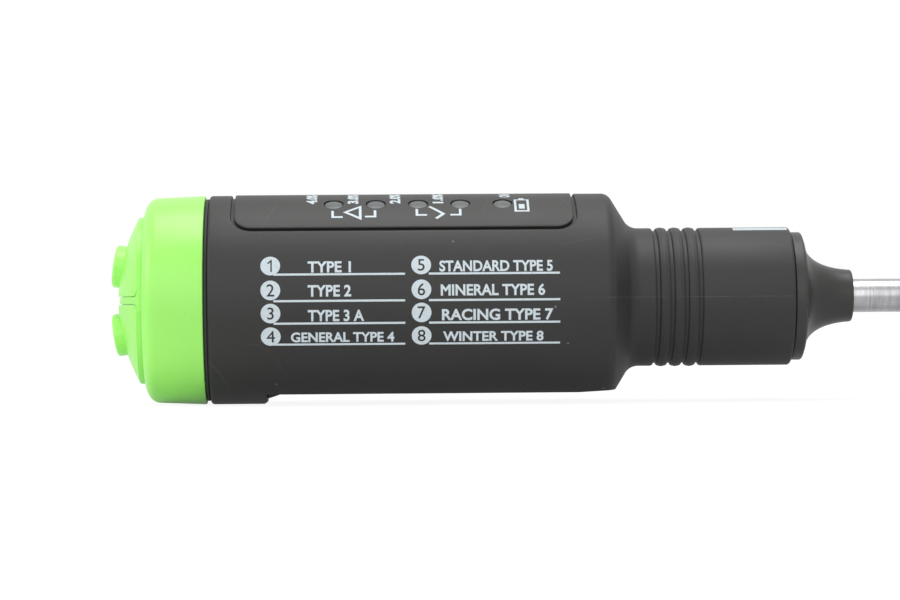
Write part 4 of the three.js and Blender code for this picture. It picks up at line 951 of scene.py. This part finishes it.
# Battery door
# A stiff plate in the housing's plastic that makes the flat of the belly. It turns on two pins at its front
# end, has two ribs and a tongue inside, and a ramp for the fingertip at its rear edge.
door_half, door_back = 7.9, -16.4
door_rear, ramp_low, ramp_end = 30, -18.8, 32.3
knuckle, door_radius, peg_reach, peg_radius = 1, 19.95, 8.6, 0.65
door_outline = [(door_rear, door_back), (door_rear, ramp_low), (ramp_end, belly_z)]
door_outline += arc(hinge_x, hinge_z, knuckle, -90, 90, 12)
door_outline += [(hinge_x - knuckle, door_back)]
door_corners = [tool_point(x, -door_half, z) for x, z in door_outline]
door_plate = prism("door_plate", door_corners, (0, 2 * door_half * mm, 0))
round_start, round_end = door_rear - 2, door_front + 2
profile = [(round_start, 0), (round_start, door_radius), (round_end, door_radius), (round_end, 0)]
carve(door_plate, turned("round_body", profile, 180, on_axis), "INTERSECT")
modify(door_plate, "BEVEL", width=0.2 * mm, segments=3, angle_limit=radians(40))
# The two ribs and the tongue, each with its ends, its middle, half its width and its top
rib_y, rib_half, rib_low, rib_top, tongue_half, tongue_top = 3.2, 0.5, -17, -15.5, 3, -14.65
for rear, front, middle, half, top in (
    (36, 82, -rib_y, rib_half, rib_top),
    (36, 82, rib_y, rib_half, rib_top),
    (30.85, 31.65, 0, tongue_half, tongue_top),
):
    rib = block(tool_point(rear, middle - half, rib_low), tool_point(front, middle + half, top))
    edit(rib)
    bpy.ops.mesh.bevel(offset=0.15 * mm, segments=2)
    leave_edit()
    carve(door_plate, rib, "UNION")
carve(door_plate, hinge_pins(peg_reach, peg_radius, 32), "UNION")
smooth(door_plate, 30)
fit(door_plate, soft_touch, "battery_door", "housing", "battery_door")


# Probe nose and its ring
# A turned plug in satin black plastic. It closes the neck, sealed by a rubber ring in a groove, and its
# stepped collar runs out in a slim waist that carries the tube.
nose_rear, nose_front, nose_edge, nose_radius = 121.149, 142.149, 0.4, 11.35
groove_rear, groove_front, groove_radius = 126.299, 127.999, 9.65
collar_rear, collar_front, collar_radius, collar_edge, collar_step = 130.189, 132.349, 12.3, 0.4, 0.2
waist_start, waist_pull, waist_end = (132.649, 11.3), (132.949, 5.6), (nose_front - nose_edge, 5)
lead_bore, socket_floor, tube_socket, socket_lead_in = 2.1, 124.55, 3.3, 0.2
profile = [(socket_floor, lead_bore), (nose_rear, lead_bore)]
profile += arc(nose_rear + nose_edge, nose_radius - nose_edge, nose_edge, 180, 90, 4)
profile += [(groove_rear, nose_radius), (groove_rear, groove_radius), (groove_front, groove_radius)]
profile += [(groove_front, nose_radius), (collar_rear, nose_radius)]
profile += arc(collar_rear + collar_step, collar_radius - collar_step, collar_step, 180, 90, 4)
profile += arc(collar_front - collar_edge, collar_radius - collar_edge, collar_edge, 90, 0, 5)
profile += arc(collar_front + collar_step, waist_start[1] + 0.3, collar_step, 180, 270, 3)
profile += bent_points(waist_start, waist_pull, waist_end, 24)
profile += arc(waist_end[0], waist_end[1] - nose_edge, nose_edge, 90, 0, 5)[1:]
profile += [(nose_front, tube_socket + socket_lead_in), (nose_front - socket_lead_in, tube_socket)]
profile += [(socket_floor, tube_socket), (socket_floor, lead_bore)]
nose_plug = turned("nose_plug", profile, 128, on_axis)
smooth(nose_plug, 35)
nose_satin, shader, place, tone = dark_plastic(
    "nose_satin", ((0.026, 0.025, 0.024), (0.032, 0.031, 0.029)), (0.36, 0.44), 0.14, 0.4, 0.3
)
lathe_marks = put(place, "TexWave", Vector=place, Scale=900, Distortion=0.4, Detail=2).outputs["Fac"]
bumped(shader, lathe_marks, 0.3, 0.004)
fit(nose_plug, nose_satin, "body", "housing", "probe_nose")

ring = {"major_segments": 128, "minor_segments": 20, "major_radius": 10.62 * mm, "minor_radius": 0.72 * mm}
bpy.ops.mesh.primitive_torus_add(**ring)
nose_ring = added("nose_ring")
set_down(nose_ring, tool_point((groove_rear + groove_front) / 2, 0, 0), (0, pi / 2, 0))
smooth(nose_ring, 40)
fit(nose_ring, rubber, "body", "seal", "nose_seal")


# Probe tube
# A thin-walled stainless tube, drawn and brushed round, glued into the nose.
tube_rear, tube_front, tube_radius, tube_bore, tube_edge = 124.649, 184.149, 3.2, 2.6, 0.12
profile = [(tube_rear, tube_bore), (tube_rear, tube_radius)]
profile += arc(tube_front - tube_edge, tube_radius - tube_edge, tube_edge, 90, 0, 4)
profile += [(tube_front, tube_bore), (tube_rear, tube_bore)]
probe_stem = turned("probe_stem", profile, 96, on_axis)
smooth(probe_stem, 35)


def metal(name, dark, light, roughness, streaks, depth):
    """Bare metal with fine streaks. Streaks are stretched along the axes whose scale is small."""
    material, shader, place = fresh_material(name, light, roughness[0])
    drawn_out = put(place, "Mapping", Vector=place, Scale=streaks).outputs[0]
    fine = noise(drawn_out, 1000, 3, 0.65)[0]
    cloud = noise(place, 180, 3)[0]
    share = math("ADD", times(fine, 0.6), times(cloud, 0.4))
    tone = mixed(spread(share, 0.35, 0.65), dark, light)
    feed(shader, Metallic=1, Base_Color=tone, Roughness=spread(share, 0.3, 0.7, *roughness))
    bumped(shader, fine, 0.5, depth)
    return material


steel = metal("brushed_steel", (0.3, 0.3, 0.31), (0.48, 0.48, 0.49), (0.36, 0.24), (4, 0.15, 0.15), 0.004)
fit(probe_stem, steel, "body", "tube", "probe_tube")


# Probe insulator
# A plug with a chamfered nose, moulded in pale nylon and pressed into the tube's end. It holds the two
# electrodes apart.
plug_rear, plug_radius = 177.149, 2.5
head_rear, head_front, head_radius, head_edge = 184.199, 190.199, 3.2, 0.15
chamfer_start, chamfer_end, chamfer_round = (189.299, 2.9), (189.899, 2.3), 0.3
profile = [(plug_rear, 0), (plug_rear, plug_radius), (head_rear, plug_radius)]
profile += arc(head_rear + head_edge, head_radius - head_edge, head_edge, 180, 90, 3)
profile += arc(*chamfer_start, chamfer_round, 90, 45, 3)
profile += arc(*chamfer_end, chamfer_round, 45, 0, 3)
profile += [(head_front, 0)]
tip_plug = turned("tip_plug", profile, 96, on_axis)
electrode_y, hole_radius = 1.3, 0.68
profile = [(176, 0), (176, hole_radius), (192, hole_radius), (192, 0)]
for side in (-electrode_y, electrode_y):
    carve(tip_plug, turned("hole", profile, 32, tool_point(0, side, 0)))
smooth(tip_plug, 35)
pale_nylon, shader, place, grain = grained("pale_nylon", (0.72, 0.7, 0.62), 0.42, 0.15, 0.006, 0.45)
stain = spread(noise(place, 420, 4)[0], 0.56, 0.75, 0, 0.4)
tone = mixed(grain["Mottle"], (0.66, 0.64, 0.56), (0.74, 0.72, 0.64))
feed(shader, Base_Color=mixed(stain, tone, (0.5, 0.45, 0.34)))
fit(tip_plug, pale_nylon, "body", "insulator", "probe_insulator")


# Electrodes
# Two gold plated brass pins with rounded tips, pressed through the insulator, that dip into the fluid.
gold = metal("gold_plate", (0.52, 0.34, 0.1), (0.78, 0.56, 0.24), (0.34, 0.2), (0.4, 3, 3), 0.002)
pin_rear, pin_front, pin_radius, pin_edge = 175.649, 196.65, 0.6, 0.35
profile = [(pin_rear, 0), (pin_rear, pin_radius)]
profile += arc(pin_front - pin_edge, pin_radius - pin_edge, pin_edge, 90, 0, 6)
profile += [(pin_front, 0)]
for i, side in enumerate((-electrode_y, electrode_y)):
    pin = turned(f"pin_{i + 1}", profile, 40, tool_point(0, side, 0))
    smooth(pin, 35)
    fit(pin, gold, "body", "electrode", f"electrode_{i + 1}")


# Battery cell and its spring
# A round cell in a printed plastic sleeve that is shrunk over both rims, with a steel cap and nub at its
# positive end. The spring that presses on it is wound from nickelled wire.
cell_z, cell_rear, cell_front, cell_radius = -8.6, 36.25, 86.75, 7.1
can_front, nub_radius, nub_edge, rim_round = 85.45, 2.6, 0.35, 0.6
ditch_inner, ditch_outer, ditch_depth, dish_radius, dish_depth = 5.1, 5.9, 0.2, 5.2, 0.25
sleeve_radius, band_start, hairline_middle, hairline_half = 5.64, 72, 71, 0.35
profile = [(cell_rear, 0), (cell_rear, ditch_inner), (cell_rear + ditch_depth, ditch_inner + ditch_depth)]
profile += [(cell_rear + ditch_depth, ditch_outer - ditch_depth), (cell_rear, ditch_outer)]
profile += arc(cell_rear + rim_round, cell_radius - rim_round, rim_round, 180, 90, 6)
profile += arc(can_front - rim_round, cell_radius - rim_round, rim_round, 90, 0, 6)
profile += [(can_front, dish_radius), (can_front - dish_depth, dish_radius - 0.2)]
profile += [(can_front - dish_depth, nub_radius + 0.2), (can_front, nub_radius + 0.05)]
profile += arc(cell_front - nub_edge, nub_radius - nub_edge, nub_edge, 90, 0, 5)
profile += [(cell_front, 0)]
power_cell = turned("power_cell", profile, 96, tool_point(0, 0, cell_z))
smooth(power_cell, 35)

cell_sleeve, shader, place = fresh_material("cell_sleeve", (0.05, 0.12, 0.26), 0.3)
spot = put(place, "SeparateXYZ", Vector=place)
off_y = math("POWER", spot.outputs["Y"], 2)
off_z = math("POWER", math("SUBTRACT", spot.outputs["Z"], axis_z + cell_z * mm), 2)
radius = math("SQRT", math("ADD", off_y, off_z))
bare_metal = spread(radius, (sleeve_radius - 0.02) * mm, (sleeve_radius + 0.02) * mm, 1, 0)
band = math("GREATER_THAN", spot.outputs["X"], along(band_start))
off_hairline = math("ABSOLUTE", math("SUBTRACT", spot.outputs["X"], along(hairline_middle)))
hairline = math("LESS_THAN", off_hairline, hairline_half * mm)
scuffs = noise(place, 700, 4, 0.65)[0]
worn = times(spread(scuffs, 0.6, 0.75), 0.3)
sleeve = mixed(spread(scuffs, 0.3, 0.7), (0.015, 0.045, 0.13), (0.022, 0.06, 0.17))
sleeve = mixed(band, sleeve, (0.5, 0.5, 0.5))
sleeve = mixed(hairline, sleeve, (0.6, 0.6, 0.6))
sleeve = mixed(worn, sleeve, (0.3, 0.33, 0.38))
feed(
    shader,
    Base_Color=mixed(bare_metal, sleeve, (0.55, 0.54, 0.52)),
    Metallic=math("MAXIMUM", bare_metal, times(band, 0.8)),
    Roughness=spread(scuffs, 0.3, 0.7, 0.24, 0.4),
)
bumped(shader, scuffs, 0.4, 0.01)
fit(power_cell, cell_sleeve, "body", "cell", "battery_cell")

spring_rear, spring_front, spring_turns, turn_steps = 32.3, 35.9, 3, 32
spring_wide, spring_narrow, wire = 4, 2.6, 0.3
spring_line = []
for t in [k / (spring_turns * turn_steps) for k in range(spring_turns * turn_steps + 1)]:
    turn = 2 * pi * spring_turns * t
    away = spring_wide + (spring_narrow - spring_wide) * t
    x = spring_rear + (spring_front - spring_rear) * t
    spring_line.append(tool_point(x, away * cos(turn), cell_z + away * sin(turn)))
drawn("spring_line", spring_line)
bpy.ops.object.convert(target="CURVE")
coil = bpy.context.object.data
coil.bevel_depth = wire * mm
coil.bevel_resolution = 4
coil.use_fill_caps = True
bpy.ops.object.convert(target="MESH")
bay_spring = added("bay_spring")
smooth(bay_spring, 40)
nickel = metal("nickel_plate", (0.42, 0.4, 0.37), (0.62, 0.6, 0.56), (0.36, 0.22), (1, 1, 1), 0.003)
fit(bay_spring, nickel, "body", "contact", "battery_spring")


# Pieces that keep their CAD shape
# The inner works keep the solids they are packed with and get their finish here: circuit boards, chips,
# switches, light sources, leads, screws, contact plates and the carrier that holds them.
def dress(slot, material):
    """Puts a finish on every node of a slot that still shows its own solid."""
    for part in frame["record"]["subparts"]:
        if part["material_slot"] == slot:
            finishes = frame["nodes"][part["node"]].data.materials
            finishes.clear()
            finishes.append(material)


dress("contact", nickel)
dress("screw", metal("zinc_plate", (0.34, 0.34, 0.36), (0.52, 0.52, 0.53), (0.42, 0.28), (1, 3, 3), 0.003))

for slot, name, tones, roughness in (
    ("chassis", "glass_filled_nylon", ((0.022, 0.022, 0.023), (0.034, 0.034, 0.035)), (0.48, 0.58)),
    ("component", "moulding_compound", ((0.012, 0.012, 0.013), (0.02, 0.02, 0.021)), (0.5, 0.62)),
    ("lead_black", "black_lead_jacket", ((0.012, 0.012, 0.012), (0.02, 0.02, 0.02)), (0.36, 0.46)),
):
    dress(slot, dark_plastic(name, tones, roughness, 0.18, 0.2, 0.2)[0])

for slot, name, dark, light, roughness in (
    ("lead_red", "red_lead_jacket", (0.3, 0.012, 0.01), (0.42, 0.022, 0.016), 0.4),
    ("connector", "natural_nylon", (0.7, 0.68, 0.6), (0.8, 0.78, 0.7), 0.48),
    ("led", "clear_epoxy", (0.72, 0.7, 0.62), (0.84, 0.83, 0.76), 0.16),
):
    material, shader, place, grain = grained(name, light, roughness, 0.15, 0.005)
    gloss = spread(grain["Grain"], 0.3, 0.7, roughness - 0.05, roughness + 0.05)
    feed(shader, Base_Color=mixed(grain["Mottle"], dark, light), Roughness=gloss)
    dress(slot, material)

# Solder mask over copper tracks, with the glass weave just showing
solder_mask, shader, place, grain = grained("solder_mask", (0.014, 0.13, 0.045), 0.28, 0.3, 0.003)
rows = {"Scale": 220, "Mortar_Size": 0.03, "Brick_Width": 0.9, "Row_Height": 0.22}
tracks = put(place, "TexBrick", {"squash": 1.6}, Vector=place, **rows).outputs["Fac"]
slanted = {"bands_direction": "DIAGONAL"}
weave = put(place, "TexWave", slanted, Vector=place, Scale=700, Distortion=1).outputs["Fac"]
tone = mixed(tracks, (0.01, 0.085, 0.03), (0.022, 0.17, 0.06))
tone = mixed(times(weave, 0.15), tone, (0.03, 0.2, 0.08))
feed(shader, Base_Color=tone, Roughness=spread(grain["Mottle"], 0, 1, 0.22, 0.34))
bumped(shader, tracks, 0.5, 0.03)
dress("board", solder_mask)

# Ribbon lead: parallel wires in one grey jacket
ribbon_jacket, shader, place, grain = grained("ribbon_jacket", (0.16, 0.16, 0.17), 0.45, 0.2, 0.004)
wires = put(place, "TexWave", {"bands_direction": "Y"}, Vector=place, Scale=260).outputs["Fac"]
tone = mixed(wires, (0.1, 0.1, 0.105), (0.19, 0.19, 0.2))
feed(shader, Base_Color=tone, Roughness=spread(grain["Mottle"], 0, 1, 0.4, 0.5))
bumped(shader, wires, 0.8, 0.15)
dress("ribbon", ribbon_jacket)
